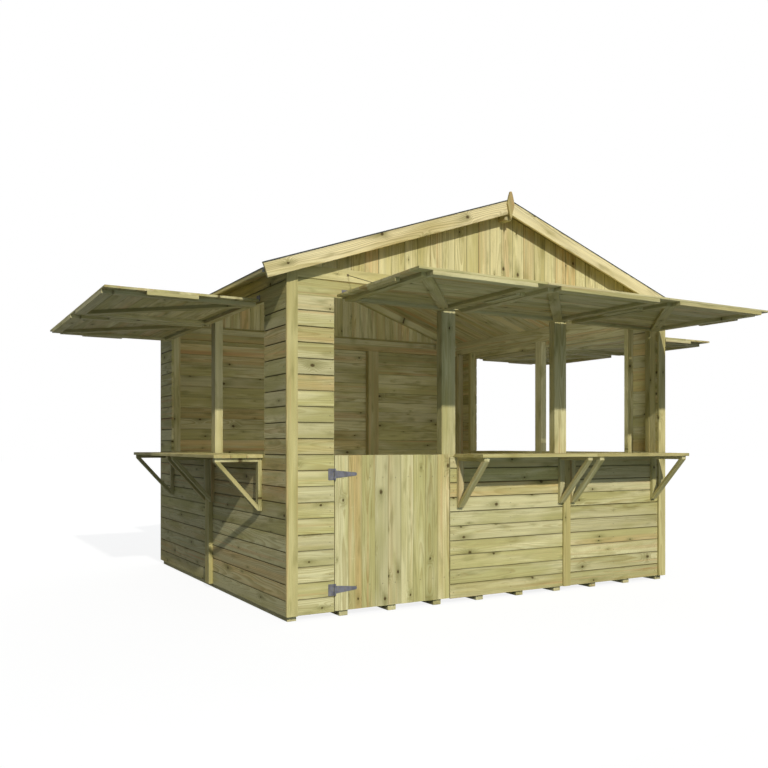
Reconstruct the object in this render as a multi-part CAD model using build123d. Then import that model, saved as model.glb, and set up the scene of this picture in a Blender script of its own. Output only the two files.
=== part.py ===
"""Wooden market stall: a timber hut with a half door, serving hatches and fold-out counters.

Everything is drawn in a plan frame whose origin is the front left corner at ground level, with X to the
right along the front, Y into the stall and Z up. The finished pieces are then moved so that the origin
of the part lies under the middle of its box.
"""

import math
import os

from build123d import *

# Overall plan and heights, in millimetres
stall_width = 3500
stall_depth = 3060
counter_height = 1060
hatch_line = 2130
wall_height = 2245
roof_pitch = 19.2

# Timber sections
cladding_thickness = 20
frame_depth = 65
stud_width = 45
plate_height = 45
rail_height = 65

# Floor
bearer_count = 10
bearer_width = 65
bearer_height = 45
deck_thickness = 18
cladding_bottom = 36

# Front wall: corner panel, door bay and two serving bays
corner_panel_width = 350
trim_width = 80
trim_thickness = 18
post_width = 120
door_post_centre = 1285
middle_post_centre = 2352.5

# Side walls: an end panel at each end and a post between two serving bays
end_panel_width = 370
side_post_width = 96
side_plate_bottom = 2195

# Back wall: double studs where its three panels meet
back_joint_width = 126
back_joint_places = (1190, 2310)

# Gables and roof
gable_rail_height = 55
rail_to_roof = 2
rafter_depth = 65
ridge_beam_width = 60
ridge_beam_height = 95
roof_board_thickness = 19
felt_thickness = 3
felt_drip = 3
eave_overhang = 190
gable_overhang = 80
fascia_thickness = 12
fascia_drop = 5
barge_depth = 100
barge_thickness = 20
barge_upstand = 33
barge_past_eave = 2
finial_width = 63
finial_thickness = 18
finial_tip_width = 13
finial_above_ridge = 56
finial_below_ridge = 158
finial_shoulder_drop = 40
finial_bow = 3

# Serving hatches, propped level
hatch_length = 1055
hatch_thickness = 15
hatch_gap = 5
hatch_wall_gap = 36
batten_width = 70
batten_thickness = 25
batten_gap = 2
hinge_rail_width = 55
ledge_inset = 60
ledge_width = 60
cleat_width = 34
outer_rail_shares = (0.10, 0.92)
cleat_shares = (0.43, 0.75)
brace_hinge_share = 0.93
brace_outer_share = 0.09

# Hatch hinges
hinge_width = 60
hinge_leaf_thickness = 3
hinge_wall_leaf = 42
hinge_hatch_leaf = 58
hinge_knuckle_radius = 6
hinge_place_shares = (0.09, 0.91)

# Stays that hold the front hatches level
stay_radius = 2.5
stay_inset = 100
stay_wall_height = 2290
stay_reach = 460
stay_plate_size = 14
stay_plate_thickness = 3

# Counters: shelf, sill and brackets
shelf_reach = 350
shelf_thickness = 24
shelf_end_gap = 20
shelf_post_gap = 35
shelf_joint_gap = 4
sill_gap = 2
bracket_width = 45
bracket_thickness = 28
bracket_height = 366
bracket_setback = 15
bracket_inset = 22
bracket_strip_gap = 2
strip_width = 72
strip_thickness = 15
strip_offset = 38
side_strip_width = 100
side_strip_thickness = 32

# Half door
door_height = 1039
door_bottom = 41
door_thickness = 15
door_edge_gap = 6
door_ledge_width = 90
door_ledge_thickness = 25
door_ledge_inset = 18
door_ledge_places = (110, 880)
door_brace_gap = 1

# Tee hinges of the door
tee_plate_reach = 47
tee_plate_height = 77
tee_strap_reach = 168
tee_strap_root = 52
tee_strap_tip = 22
tee_leaf_thickness = 3
tee_leaf_setback = 8
tee_knuckle_radius = 7
tee_pin_radius = 3
tee_running_clearance = 0.05
tee_knuckle_share = 0.36
tee_knuckle_gap = 0.5
tee_axis_forward = 8
tee_axis_from_panel = 3
tee_hinge_places = (184, 953)

# One overrun for every cut
overrun = 10

# Values worked out from the ones above
slope = math.tan(math.radians(roof_pitch))
slope_cos = math.cos(math.radians(roof_pitch))
slope_sin = math.sin(math.radians(roof_pitch))
middle = stall_width / 2
frame_back = cladding_thickness + frame_depth
deck_top = bearer_height + deck_thickness
plate_top = deck_top + plate_height
rail_bottom = wall_height - rail_height
sill_rail_bottom = counter_height - plate_height
gable_rail_top = wall_height + gable_rail_height
eave_height = gable_rail_top + rail_to_roof
roof_board_rise = roof_board_thickness / slope_cos
felt_rise = felt_thickness / slope_cos
board_edge = fascia_thickness - eave_overhang
right_panel_edge = stall_width - trim_width
door_post_left = door_post_centre - post_width / 2
front_limit = -hatch_length
back_limit = stall_depth + gable_overhang + barge_thickness + finial_thickness
plan_centre_y = (front_limit + back_limit) / 2

# Places of the walls: each wall is drawn with its outside facing -Y and its left end at X 0
front_wall = Location((0, 0, 0))
left_wall = Location((0, stall_depth, 0), (0, 0, -90))
right_wall = Location((stall_width, 0, 0), (0, 0, 90))
back_wall = Location((stall_width, stall_depth, 0), (0, 0, 180))
side_walls = (left_wall, right_wall)


def block(x0, x1, y0, y1, z0, z1):
    """Rectangular timber between six planes."""
    return Pos(x0, y0, z0) * Box(x1 - x0, y1 - y0, z1 - z0, align=(Align.MIN, Align.MIN, Align.MIN))


def gable_prism(points, y0, y1):
    """Outline of X and Z points carried from y0 to y1."""
    plane = Plane(origin=(0, y1, 0), x_dir=(1, 0, 0), z_dir=(0, -1, 0))
    return extrude(plane * Polygon(*points, align=None), amount=y1 - y0, dir=plane.z_dir)


def wall_prism(points, x0, x1):
    """Outline of Y and Z points carried from x0 to x1."""
    plane = Plane(origin=(x0, 0, 0), x_dir=(0, 1, 0), z_dir=(1, 0, 0))
    return extrude(plane * Polygon(*points, align=None), amount=x1 - x0, dir=plane.z_dir)


def flat_prism(points, z0, z1):
    """Outline of X and Y points carried from z0 to z1."""
    return extrude(Pos(0, 0, z0) * Polygon(*points, align=None), amount=z1 - z0, dir=(0, 0, 1))


def mirrored(solid):
    """The same piece on the other side of the ridge."""
    return mirror(solid, about=Plane(origin=(middle, 0, 0), z_dir=(1, 0, 0)))


def both_sides(solid):
    """A piece and its mirror image across the ridge."""
    return [solid, mirrored(solid)]


def both_gables(solid):
    """A front piece and its turned copy at the back."""
    return [solid, back_wall * solid]


def on_sides(pieces):
    """Pieces drawn for one side wall, placed on both."""
    return [wall * piece for wall in side_walls for piece in pieces]


def roof_under(x):
    """Height of the underside of the left roof slope."""
    return eave_height + slope * x


def roof_top(x):
    """Height of the top of the left roof boards."""
    return roof_under(x) + roof_board_rise


# Floor

def floor_bearers():
    first = cladding_thickness
    pitch = (stall_width - first - first - bearer_width) / (bearer_count - 1)
    bearer = block(first, first + bearer_width, first, stall_depth - first, 0, bearer_height)
    return [Pos(pitch * index, 0, 0) * bearer for index in range(bearer_count)]


def floor_deck():
    inset = cladding_thickness
    return [block(inset, stall_width - inset, inset, stall_depth - inset, bearer_height, deck_top)]


# Cladding

def cladding(x0, x1, z0, z1):
    """Sheet of boards on the outside of a wall."""
    return block(x0, x1, 0, cladding_thickness, z0, z1)


def front_corner_cladding():
    left = cladding(cladding_thickness, corner_panel_width, cladding_bottom, hatch_line)
    right = cladding(right_panel_edge, stall_width - cladding_thickness, cladding_bottom, hatch_line)
    return [left, right]


def front_counter_cladding():
    return [cladding(door_post_centre, right_panel_edge, cladding_bottom, counter_height)]


def front_head_cladding():
    return [cladding(cladding_thickness, stall_width - cladding_thickness, hatch_line, wall_height)]


def back_wall_cladding():
    inner = stall_width - cladding_thickness
    return [back_wall * cladding(cladding_thickness, inner, cladding_bottom, wall_height)]


def gable_cladding():
    """Boarded triangle with a notch for the ridge beam."""
    left = cladding_thickness
    right = stall_width - left
    outline = [
        (left, wall_height),
        (right, wall_height),
        (right, roof_under(left)),
        (middle, roof_under(middle)),
        (left, roof_under(left)),
    ]
    notch_left = middle - ridge_beam_width / 2
    notch_bottom = roof_under(middle) - ridge_beam_height
    notch = block(notch_left, notch_left + ridge_beam_width, -overrun, cladding_thickness + overrun,
                  notch_bottom, roof_under(middle) + overrun)
    return gable_prism(outline, 0, cladding_thickness) - notch


def front_gable_cladding():
    return [gable_cladding()]


def back_gable_cladding():
    return [back_wall * gable_cladding()]


def side_end_cladding():
    left = cladding(0, end_panel_width, cladding_bottom, hatch_line)
    right = cladding(stall_depth - end_panel_width, stall_depth, cladding_bottom, hatch_line)
    return on_sides([left, right])


def side_counter_cladding():
    far = stall_depth - end_panel_width
    return on_sides([cladding(end_panel_width, far, cladding_bottom, counter_height)])


def side_head_cladding():
    outer = roof_under(0)
    inner = roof_under(cladding_thickness)
    outline = [(0, hatch_line), (cladding_thickness, hatch_line), (cladding_thickness, inner), (0, outer)]
    return on_sides([wall_prism(outline, 0, stall_depth)])


# Wall frames

def upright(x0, x1, z0, z1):
    """Stud or post standing in the depth of a wall frame."""
    return block(x0, x1, cladding_thickness, frame_back, z0, z1)


def front_studs():
    left_corner = cladding_thickness
    middle_post_left = middle_post_centre - post_width / 2
    spans = [
        (left_corner, left_corner + stud_width),
        (corner_panel_width - stud_width, corner_panel_width),
        (door_post_left, door_post_left + post_width),
        (middle_post_left, middle_post_left + post_width),
        (right_panel_edge, stall_width - cladding_thickness),
    ]
    return [upright(x0, x1, plate_top, rail_bottom) for x0, x1 in spans]


def front_rails():
    left = cladding_thickness
    right = stall_width - cladding_thickness
    half_post = post_width / 2
    middle_post_left = middle_post_centre - half_post
    return [
        upright(left, corner_panel_width, deck_top, plate_top),
        upright(door_post_left, right, deck_top, plate_top),
        upright(door_post_centre + half_post, middle_post_left, sill_rail_bottom, counter_height),
        upright(middle_post_centre + half_post, right_panel_edge, sill_rail_bottom, counter_height),
        upright(left, right, rail_bottom, wall_height),
    ]


def back_studs():
    left = cladding_thickness
    right = stall_width - cladding_thickness
    spans = [(left, left + stud_width), (right - stud_width, right)]
    spans += [(x - back_joint_width / 2, x + back_joint_width / 2) for x in back_joint_places]
    mirrored_spans = [(stall_width - x1, stall_width - x0) for x0, x1 in spans]
    return [back_wall * upright(x0, x1, plate_top, rail_bottom) for x0, x1 in mirrored_spans]


def back_rails():
    left = cladding_thickness
    right = stall_width - cladding_thickness
    bottom = upright(left, right, deck_top, plate_top)
    top = upright(left, right, rail_bottom, wall_height)
    return [back_wall * bottom, back_wall * top]


def side_studs():
    near = frame_back
    far = stall_depth - frame_back
    post_left = stall_depth / 2 - side_post_width / 2
    spans = [
        (near, near + stud_width),
        (end_panel_width - stud_width, end_panel_width),
        (post_left, post_left + side_post_width),
        (stall_depth - end_panel_width, stall_depth - end_panel_width + stud_width),
        (far - stud_width, far),
    ]
    return on_sides([upright(x0, x1, plate_top, side_plate_bottom) for x0, x1 in spans])


def side_rails():
    near = frame_back
    far = stall_depth - frame_back
    post_left = stall_depth / 2 - side_post_width / 2
    top_outline = [
        (cladding_thickness, side_plate_bottom),
        (frame_back, side_plate_bottom),
        (frame_back, roof_under(frame_back)),
        (cladding_thickness, roof_under(cladding_thickness)),
    ]
    rails = [
        upright(near, far, deck_top, plate_top),
        upright(end_panel_width, post_left, sill_rail_bottom, counter_height),
        upright(post_left + side_post_width, stall_depth - end_panel_width, sill_rail_bottom, counter_height),
        wall_prism(top_outline, near, far),
    ]
    return on_sides(rails)


# Gable frames and roof

def gable_rails():
    rail = upright(cladding_thickness, stall_width - cladding_thickness, wall_height, gable_rail_top)
    return both_gables(rail)


def gable_rafters():
    """Sloping rafters on the gable rails, with a king post under the ridge beam."""
    start = cladding_thickness
    end = middle - ridge_beam_width / 2
    drop = rafter_depth / slope_cos
    toe = (gable_rail_top + drop - eave_height) / slope
    outline = [
        (start, gable_rail_top),
        (toe, gable_rail_top),
        (end, roof_under(end) - drop),
        (end, roof_under(end)),
        (start, roof_under(start)),
    ]
    rafter = gable_prism(outline, cladding_thickness, frame_back)
    king_top = roof_under(middle) - ridge_beam_height
    king_post = upright(end, end + ridge_beam_width, gable_rail_top, king_top)
    return both_gables(rafter) + both_gables(mirrored(rafter)) + both_gables(king_post)


def ridge_beam():
    """Ridge beam with its top bevelled to both slopes."""
    left = middle - ridge_beam_width / 2
    right = left + ridge_beam_width
    bottom = roof_under(middle) - ridge_beam_height
    outline = [
        (left, bottom),
        (right, bottom),
        (right, roof_under(left)),
        (middle, roof_under(middle)),
        (left, roof_under(left)),
    ]
    return [gable_prism(outline, -gable_overhang, stall_depth + gable_overhang)]


def roof_slab():
    outline = [
        (board_edge, roof_under(board_edge)),
        (middle, roof_under(middle)),
        (middle, roof_top(middle)),
        (board_edge, roof_top(board_edge)),
    ]
    return gable_prism(outline, -gable_overhang, stall_depth + gable_overhang)


def left_roof_boards():
    return [roof_slab()]


def right_roof_boards():
    return [mirrored(roof_slab())]


def roof_felt():
    """One folded sheet over the ridge, turned down at both eaves."""
    edge = -eave_overhang
    outer = edge - felt_thickness
    edge_top = roof_top(edge)
    half = [
        (middle, roof_top(middle)),
        (edge, edge_top),
        (edge, edge_top - felt_drip),
        (outer, edge_top - felt_drip),
        (outer, roof_top(outer) + felt_rise),
        (middle, roof_top(middle) + felt_rise),
    ]
    left = gable_prism(half, -gable_overhang, stall_depth + gable_overhang)
    return [left + mirrored(left)]


def eave_fascias():
    """Thin strips over the lower ends of the roof boards."""
    outer = -eave_overhang
    bottom = roof_under(outer) - fascia_drop
    outline = [
        (outer, bottom),
        (board_edge, bottom),
        (board_edge, roof_top(board_edge)),
        (outer, roof_top(outer)),
    ]
    return both_sides(gable_prism(outline, -gable_overhang, stall_depth + gable_overhang))


def barge_board():
    """Board along the gable edge: cut square at the eave and plumb at the ridge."""
    end = -eave_overhang - barge_past_eave
    upstand = barge_upstand / slope_cos
    end_top = roof_top(end) + upstand
    ridge_top = roof_top(middle) + upstand
    outline = [
        (end, end_top),
        (end + barge_depth * slope_sin, end_top - barge_depth * slope_cos),
        (middle, ridge_top - barge_depth / slope_cos),
        (middle, ridge_top),
    ]
    return gable_prism(outline, -gable_overhang - barge_thickness, -gable_overhang)


def left_barge_boards():
    return [barge_board(), back_wall * mirrored(barge_board())]


def right_barge_boards():
    return [mirrored(barge_board()), back_wall * barge_board()]


def finials():
    """Flat leaf on the joint of the barge boards, bowed from its blunt tip to its shoulders."""
    ridge_top = roof_top(middle) + barge_upstand / slope_cos
    tip_height = ridge_top + finial_above_ridge
    shoulder_height = ridge_top - finial_shoulder_drop
    bow_height = (tip_height + shoulder_height) / 2
    half_tip = finial_tip_width / 2
    half_width = finial_width / 2
    half_bow = (half_width + half_tip) / 2 + finial_bow

    def edge(half, height):
        return (middle - half, height), (middle + half, height)

    tip_left, tip_right = edge(half_tip, tip_height)
    bow_left, bow_right = edge(half_bow, bow_height)
    left, right = edge(half_width, shoulder_height)
    foot = (middle, ridge_top - finial_below_ridge)
    outline = [
        Line(tip_left, tip_right),
        ThreePointArc(tip_right, bow_right, right),
        Line(right, foot),
        Line(foot, left),
        ThreePointArc(left, bow_left, tip_left),
    ]
    face_y = -gable_overhang - barge_thickness
    plane = Plane(origin=(0, face_y, 0), x_dir=(1, 0, 0), z_dir=(0, -1, 0))
    return both_gables(extrude(plane * make_face(outline), amount=finial_thickness, dir=plane.z_dir))


# Serving hatches

front_bays = (
    (corner_panel_width, door_post_centre),
    (door_post_centre, middle_post_centre),
    (middle_post_centre, right_panel_edge),
)
side_bays = (
    (end_panel_width, stall_depth / 2),
    (stall_depth / 2, stall_depth - end_panel_width),
)


def hatch_span(bay):
    """Edges of the hatch that closes a bay."""
    return bay[0] + hatch_gap / 2, bay[1] - hatch_gap / 2


def hatch_panel(bay):
    x0, x1 = hatch_span(bay)
    return block(x0, x1, -hatch_length, -hatch_wall_gap, hatch_line, hatch_line + hatch_thickness)


def hatch_underside(bay):
    """Outer rail, hinge rail, two ledges with an end cleat each and a diagonal brace under one hatch."""
    x0, x1 = hatch_span(bay)
    width = x1 - x0
    bottom = hatch_line - batten_thickness
    outer_rail_edge = -hatch_length + batten_width
    hinge_rail_edge = -hatch_wall_gap - hinge_rail_width
    bay_inset = ledge_inset + ledge_width + batten_gap
    bay_outer = outer_rail_edge + batten_gap
    bay_inner = hinge_rail_edge - batten_gap

    def batten(left, right, outer, inner):
        return block(left, right, outer, inner, bottom, hatch_line)

    outer_rail = batten(x0 + width * outer_rail_shares[0], x0 + width * outer_rail_shares[1],
                        -hatch_length, outer_rail_edge)
    hinge_rail = batten(x0 + bay_inset, x1 - bay_inset, hinge_rail_edge, -hatch_wall_gap)
    ledges = [batten(x0 + ledge_inset, x0 + ledge_inset + ledge_width, bay_outer, -hatch_wall_gap),
              batten(x1 - ledge_inset - ledge_width, x1 - ledge_inset, bay_outer, -hatch_wall_gap)]
    cleat_outer = -hatch_length * cleat_shares[1]
    cleat_inner = -hatch_length * cleat_shares[0]
    cleats = [batten(x0, x0 + cleat_width, cleat_outer, cleat_inner),
              batten(x1 - cleat_width, x1, cleat_outer, cleat_inner)]
    hinge_end = (x0 + width * brace_hinge_share, -hatch_wall_gap)
    outer_end = (x0 + width * brace_outer_share, outer_rail_edge)
    half = batten_width / 2 * math.dist(hinge_end, outer_end) / (hinge_end[1] - outer_end[1])
    strip = flat_prism([
        (hinge_end[0] - half, hinge_end[1]),
        (outer_end[0] - half, outer_end[1]),
        (outer_end[0] + half, outer_end[1]),
        (hinge_end[0] + half, hinge_end[1]),
    ], bottom, hatch_line)
    brace = strip & batten(x0 + bay_inset, x1 - bay_inset, bay_outer, bay_inner)
    return [outer_rail, hinge_rail, *ledges, *cleats, brace]


def front_hatches():
    return [front_wall * hatch_panel(bay) for bay in front_bays]


def side_hatches():
    return on_sides([hatch_panel(bay) for bay in side_bays])


def hatch_battens():
    front = [batten for bay in front_bays for batten in hatch_underside(bay)]
    side = [batten for bay in side_bays for batten in hatch_underside(bay)]
    return front + on_sides(side)


def hatch_hinge(place):
    """Butt hinge with one leaf on the wall, one on the hatch and its knuckle between."""
    hatch_top = hatch_line + hatch_thickness
    left = place - hinge_width / 2
    right = left + hinge_width
    wall_leaf = block(left, right, -hinge_leaf_thickness, 0, hatch_top, hatch_top + hinge_wall_leaf)
    hatch_leaf = block(left, right, -hinge_hatch_leaf, 0, hatch_top, hatch_top + hinge_leaf_thickness)
    knuckle_centre = (left, -hinge_knuckle_radius, hatch_top + hinge_knuckle_radius)
    along_wall = Plane(origin=knuckle_centre, x_dir=(0, 1, 0), z_dir=(1, 0, 0))
    knuckle = extrude(along_wall * Circle(hinge_knuckle_radius), amount=hinge_width)
    return wall_leaf + hatch_leaf + knuckle


def hatch_hinges():
    def pair(bay):
        x0, x1 = hatch_span(bay)
        return [hatch_hinge(x0 + (x1 - x0) * share) for share in hinge_place_shares]

    front = [hinge for bay in front_bays for hinge in pair(bay)]
    side = [hinge for bay in side_bays for hinge in pair(bay)]
    return front + on_sides(side)


def hatch_stay(place):
    """Taut rod from a plate on the gable to a plate on top of the hatch."""
    hatch_top = hatch_line + hatch_thickness
    half = stay_plate_size / 2
    left = place - half
    right = place + half
    wall_face = -stay_plate_thickness
    hatch_face = hatch_top + stay_plate_thickness
    outer = -stay_reach - half
    wall_top = stay_wall_height + half
    wall_plate = block(left, right, wall_face, 0, stay_wall_height - half, wall_top)
    hatch_plate = block(left, right, outer, half - stay_reach, hatch_top, hatch_face)
    rise = stay_wall_height - hatch_top
    lean = Plane(origin=(place, -stay_reach, hatch_top), x_dir=(1, 0, 0), z_dir=(0, stay_reach, rise))
    rod = extrude(lean * Circle(stay_radius), amount=math.hypot(stay_reach, rise), dir=lean.z_dir)
    return [wall_plate, hatch_plate, rod & block(left, right, outer, wall_face, hatch_face, wall_top)]


def hatch_stays():
    stays = []
    for bay in front_bays:
        x0, x1 = hatch_span(bay)
        stays += hatch_stay(x0 + stay_inset) + hatch_stay(x1 - stay_inset)
    return stays


# Counters

front_joint = middle_post_centre + strip_offset
front_strip = (front_joint - strip_width / 2, front_joint + strip_width / 2)
side_strip = (stall_depth / 2 - side_strip_width / 2, stall_depth / 2 + side_strip_width / 2)
shelf_half_joint = shelf_joint_gap / 2
front_shelf_spans = (
    (door_post_centre + shelf_post_gap, front_joint - shelf_half_joint),
    (front_joint + shelf_half_joint, right_panel_edge - shelf_end_gap),
)
side_shelf_spans = (
    (end_panel_width + shelf_end_gap, stall_depth / 2 - shelf_half_joint),
    (stall_depth / 2 + shelf_half_joint, stall_depth - end_panel_width - shelf_end_gap),
)


def bracket_lefts(spans, strip):
    """Left faces of the four brackets that carry the two shelves of a wall."""
    return [
        spans[0][0] + bracket_inset,
        strip[0] - bracket_strip_gap - bracket_width,
        strip[1] + bracket_strip_gap,
        spans[1][1] - bracket_inset - bracket_width,
    ]


front_bracket_lefts = bracket_lefts(front_shelf_spans, front_strip)
side_bracket_lefts = bracket_lefts(side_shelf_spans, side_strip)


def counter_shelves():
    def shelf(span):
        return block(span[0], span[1], -shelf_reach, 0, counter_height, counter_height + shelf_thickness)

    return [shelf(span) for span in front_shelf_spans] + on_sides([shelf(span) for span in side_shelf_spans])


def counter_sills():
    """Boards on top of the counter walls, between the posts."""
    sill_top = counter_height + shelf_thickness

    def sill(x0, x1):
        return block(x0 + sill_gap, x1 - sill_gap, 0, frame_back, counter_height, sill_top)

    half_post = post_width / 2
    half_side_post = side_post_width / 2
    front = [sill(door_post_centre + half_post, middle_post_centre - half_post),
             sill(middle_post_centre + half_post, right_panel_edge)]
    side = [sill(end_panel_width, stall_depth / 2 - half_side_post),
            sill(stall_depth / 2 + half_side_post, stall_depth - end_panel_width)]
    return front + on_sides(side)


def placed_brackets(piece):
    """One bracket piece, drawn from its left face, at every bracket of the stall."""
    front = [Pos(left, 0, 0) * piece for left in front_bracket_lefts]
    side = [Pos(left, 0, 0) * piece for left in side_bracket_lefts]
    return front + on_sides(side)


bracket_foot = counter_height - bracket_height
bracket_tip = -shelf_reach + bracket_setback
arm_bottom = counter_height - bracket_thickness


def bracket_posts():
    return placed_brackets(block(0, bracket_width, -bracket_thickness, 0, bracket_foot, counter_height))


def bracket_arms():
    arm = block(0, bracket_width, bracket_tip, -bracket_thickness, arm_bottom, counter_height)
    return placed_brackets(arm)


def bracket_struts():
    """Raking struts, mitred to the arm above and to the post on the wall."""
    run = -bracket_thickness - bracket_tip
    rise = arm_bottom - bracket_foot
    length = math.hypot(run, rise)
    outline = [
        (bracket_tip, arm_bottom),
        (-bracket_thickness, bracket_foot),
        (-bracket_thickness, bracket_foot + bracket_thickness * length / run),
        (bracket_tip + bracket_thickness * length / rise, arm_bottom),
    ]
    return placed_brackets(wall_prism(outline, 0, bracket_width))


# Trim

def corner_trims():
    trim = block(0, trim_width, -trim_thickness, 0, cladding_bottom, gable_rail_top)
    return both_gables(trim) + both_gables(mirrored(trim))


def cover_strips():
    """Strips over the panel joints of the counter walls."""
    def strip(span, thickness):
        return block(span[0], span[1], -thickness, 0, cladding_bottom, counter_height)

    return [strip(front_strip, strip_thickness)] + on_sides([strip(side_strip, side_strip_thickness)])


# Half door

door_left = corner_panel_width + door_edge_gap
door_right = door_post_centre - door_edge_gap
door_top = door_bottom + door_height
tee_axis_x = corner_panel_width + tee_axis_from_panel
tee_axis_y = -tee_axis_forward


def door_leaf():
    return [block(door_left, door_right, 0, door_thickness, door_bottom, door_top)]


def door_ledges():
    """Two ledges and a brace on the inside of the door."""
    left = door_left + door_ledge_inset
    right = door_post_left - door_ledge_inset
    y0 = door_thickness
    y1 = door_thickness + door_ledge_thickness
    ledges = [block(left, right, y0, y1, door_bottom + place, door_bottom + place + door_ledge_width)
              for place in door_ledge_places]
    low = (left, door_bottom + door_ledge_places[0] + door_ledge_width + door_brace_gap)
    high = (right, door_bottom + door_ledge_places[1] - door_brace_gap)
    run = math.dist(low, high)
    length = door_ledge_width * run / (high[1] - low[1])
    brace = gable_prism([low, (low[0] + length, low[1]), high, (high[0] - length, high[1])], y0, y1)
    return [*ledges, brace]


def tee_knuckle(z0, z1):
    return Pos(tee_axis_x, tee_axis_y, z0) * Cylinder(tee_knuckle_radius, z1 - z0,
                                                     align=(Align.CENTER, Align.CENTER, Align.MIN))


tee_half_height = tee_plate_height / 2
tee_middle_half = tee_plate_height * tee_knuckle_share / 2


def tee_plate(place):
    """Wall plate of a tee hinge, with its two outer knuckles and the pin."""
    low = place - tee_half_height
    high = place + tee_half_height
    gap = tee_middle_half + tee_knuckle_gap
    setback = tee_axis_x - tee_leaf_setback
    plate = block(tee_axis_x - tee_plate_reach, setback, -tee_leaf_thickness, 0, low, high)
    for z0, z1 in ((low, place - gap), (place + gap, high)):
        plate += block(setback, tee_axis_x, -tee_leaf_thickness, 0, z0, z1)
        plate += tee_knuckle(z0, z1)
    pin = Pos(tee_axis_x, tee_axis_y, low) * Cylinder(tee_pin_radius, tee_plate_height,
                                                     align=(Align.CENTER, Align.CENTER, Align.MIN))
    return plate + pin


def tee_strap(place):
    """Tapered strap of a tee hinge, with its middle knuckle and a rounded tip."""
    root = tee_axis_x + tee_leaf_setback
    tip_radius = tee_strap_tip / 2
    tip_centre = tee_axis_x + tee_strap_reach - tip_radius
    half_root = tee_strap_root / 2
    outline = [
        Line((root, place - half_root), (tip_centre, place - tip_radius)),
        ThreePointArc((tip_centre, place - tip_radius), (tip_centre + tip_radius, place),
                      (tip_centre, place + tip_radius)),
        Line((tip_centre, place + tip_radius), (root, place + half_root)),
        Line((root, place + half_root), (root, place - half_root)),
    ]
    plane = Plane(origin=(0, 0, 0), x_dir=(1, 0, 0), z_dir=(0, -1, 0))
    strap = extrude(plane * make_face(outline), amount=tee_leaf_thickness, dir=plane.z_dir)
    low = place - tee_middle_half
    high = place + tee_middle_half
    strap += block(tee_axis_x, root, -tee_leaf_thickness, 0, low, high)
    strap += tee_knuckle(low, high)
    bore = Pos(tee_axis_x, tee_axis_y, place) * Cylinder(tee_pin_radius + tee_running_clearance,
                                                         tee_plate_height)
    return strap - bore


def door_hinge_plates():
    return [tee_plate(place) for place in tee_hinge_places]


def door_hinge_straps():
    return [tee_strap(place) for place in tee_hinge_places]


NODES = (
    floor_bearers, floor_deck,
    front_corner_cladding, front_counter_cladding, front_head_cladding, back_wall_cladding,
    front_gable_cladding, back_gable_cladding,
    side_end_cladding, side_counter_cladding, side_head_cladding,
    front_studs, front_rails, back_studs, back_rails, side_studs, side_rails,
    gable_rails, gable_rafters, ridge_beam,
    left_roof_boards, right_roof_boards, roof_felt, eave_fascias,
    left_barge_boards, right_barge_boards, finials,
    front_hatches, side_hatches, hatch_battens, hatch_hinges, hatch_stays,
    counter_shelves, counter_sills, bracket_posts, bracket_arms, bracket_struts,
    corner_trims, cover_strips,
    door_leaf, door_ledges, door_hinge_plates, door_hinge_straps,
)


def main():
    """Build every piece, move it to the part's own frame and write one file a node."""
    os.makedirs("parts", exist_ok=True)
    to_part = Pos(-middle, -plan_centre_y, 0)
    for node in NODES:
        solids = [solid for piece in node() for solid in (to_part * piece).solids()]
        export_step(Compound(solids), f"parts/{node.__name__}.step")


main()
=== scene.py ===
"""Looks of a wooden market stall: its boards, timbers, felt and ironwork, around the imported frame."""

import logging
import math
import random
from dataclasses import dataclass, field
from enum import Enum
from typing import Iterable, Sequence, Union

import bmesh
import bpy
from mathutils import Matrix, Vector


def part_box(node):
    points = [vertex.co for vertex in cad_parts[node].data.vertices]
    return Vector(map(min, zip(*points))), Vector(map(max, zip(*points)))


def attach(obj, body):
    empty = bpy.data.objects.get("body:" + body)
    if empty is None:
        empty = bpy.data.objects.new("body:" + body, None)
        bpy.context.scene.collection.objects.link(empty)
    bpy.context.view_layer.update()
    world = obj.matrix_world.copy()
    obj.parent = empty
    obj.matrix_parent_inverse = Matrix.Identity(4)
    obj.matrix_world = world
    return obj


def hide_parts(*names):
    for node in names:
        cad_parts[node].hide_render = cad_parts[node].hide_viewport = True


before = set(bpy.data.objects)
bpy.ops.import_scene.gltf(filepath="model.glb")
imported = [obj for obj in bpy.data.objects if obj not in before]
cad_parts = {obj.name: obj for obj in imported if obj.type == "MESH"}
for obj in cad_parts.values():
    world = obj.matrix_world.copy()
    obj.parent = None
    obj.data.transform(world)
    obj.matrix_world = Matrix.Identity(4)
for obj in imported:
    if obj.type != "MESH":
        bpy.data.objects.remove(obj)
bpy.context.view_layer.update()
UP = Vector((0, 0, 1))
RIGHT = Vector((1, 0, 0))
BACKWARD = Vector((0, 1, 0))

# Attributes of the wood: each one's type, the name of its values and how many they are
GRAIN = "grain"
BOARD = "board"
# The seam attribute is painted shade: how deep each corner lies in the shade of a joint between boards, from
# 0 to 1
SEAM_SHADE = "seam"
ATTRIBUTES = {GRAIN: ("FLOAT_VECTOR", "vector", 3), BOARD: ("FLOAT", "value", 1), SEAM_SHADE: ("FLOAT", "value", 1)}

# Metres within which corners meet, or lie in line
WELD = 1e-5
NEAR = 1e-4
# Degrees by which a flat face of a CAD mesh may bend
FLAT = 0.5
# Share of a board that is too little to lay one more
SLACK = 1e-3
# Shape of every eased edge
EASED = {"segments": 2, "profile": 0.5, "affect": "EDGES"}

LOG = logging.getLogger("stall")
Socket = bpy.types.NodeSocket
Value = Union[float, Socket]
Pair = tuple[float, float]
Triple = tuple[float, float, float]
Colour = tuple[float, float, float, float]


class Body(Enum):
    """Bodies of the frame that pieces ride on."""

    STALL = "stall"
    DOOR = "door"


class Slot(Enum):
    """Material slots of the record."""

    BOARDS = "pine_boards"
    FRAME = "frame_timber"
    TRIM = "planed_trim"
    FELT = "roof_felt"
    IRON = "ironwork"


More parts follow.
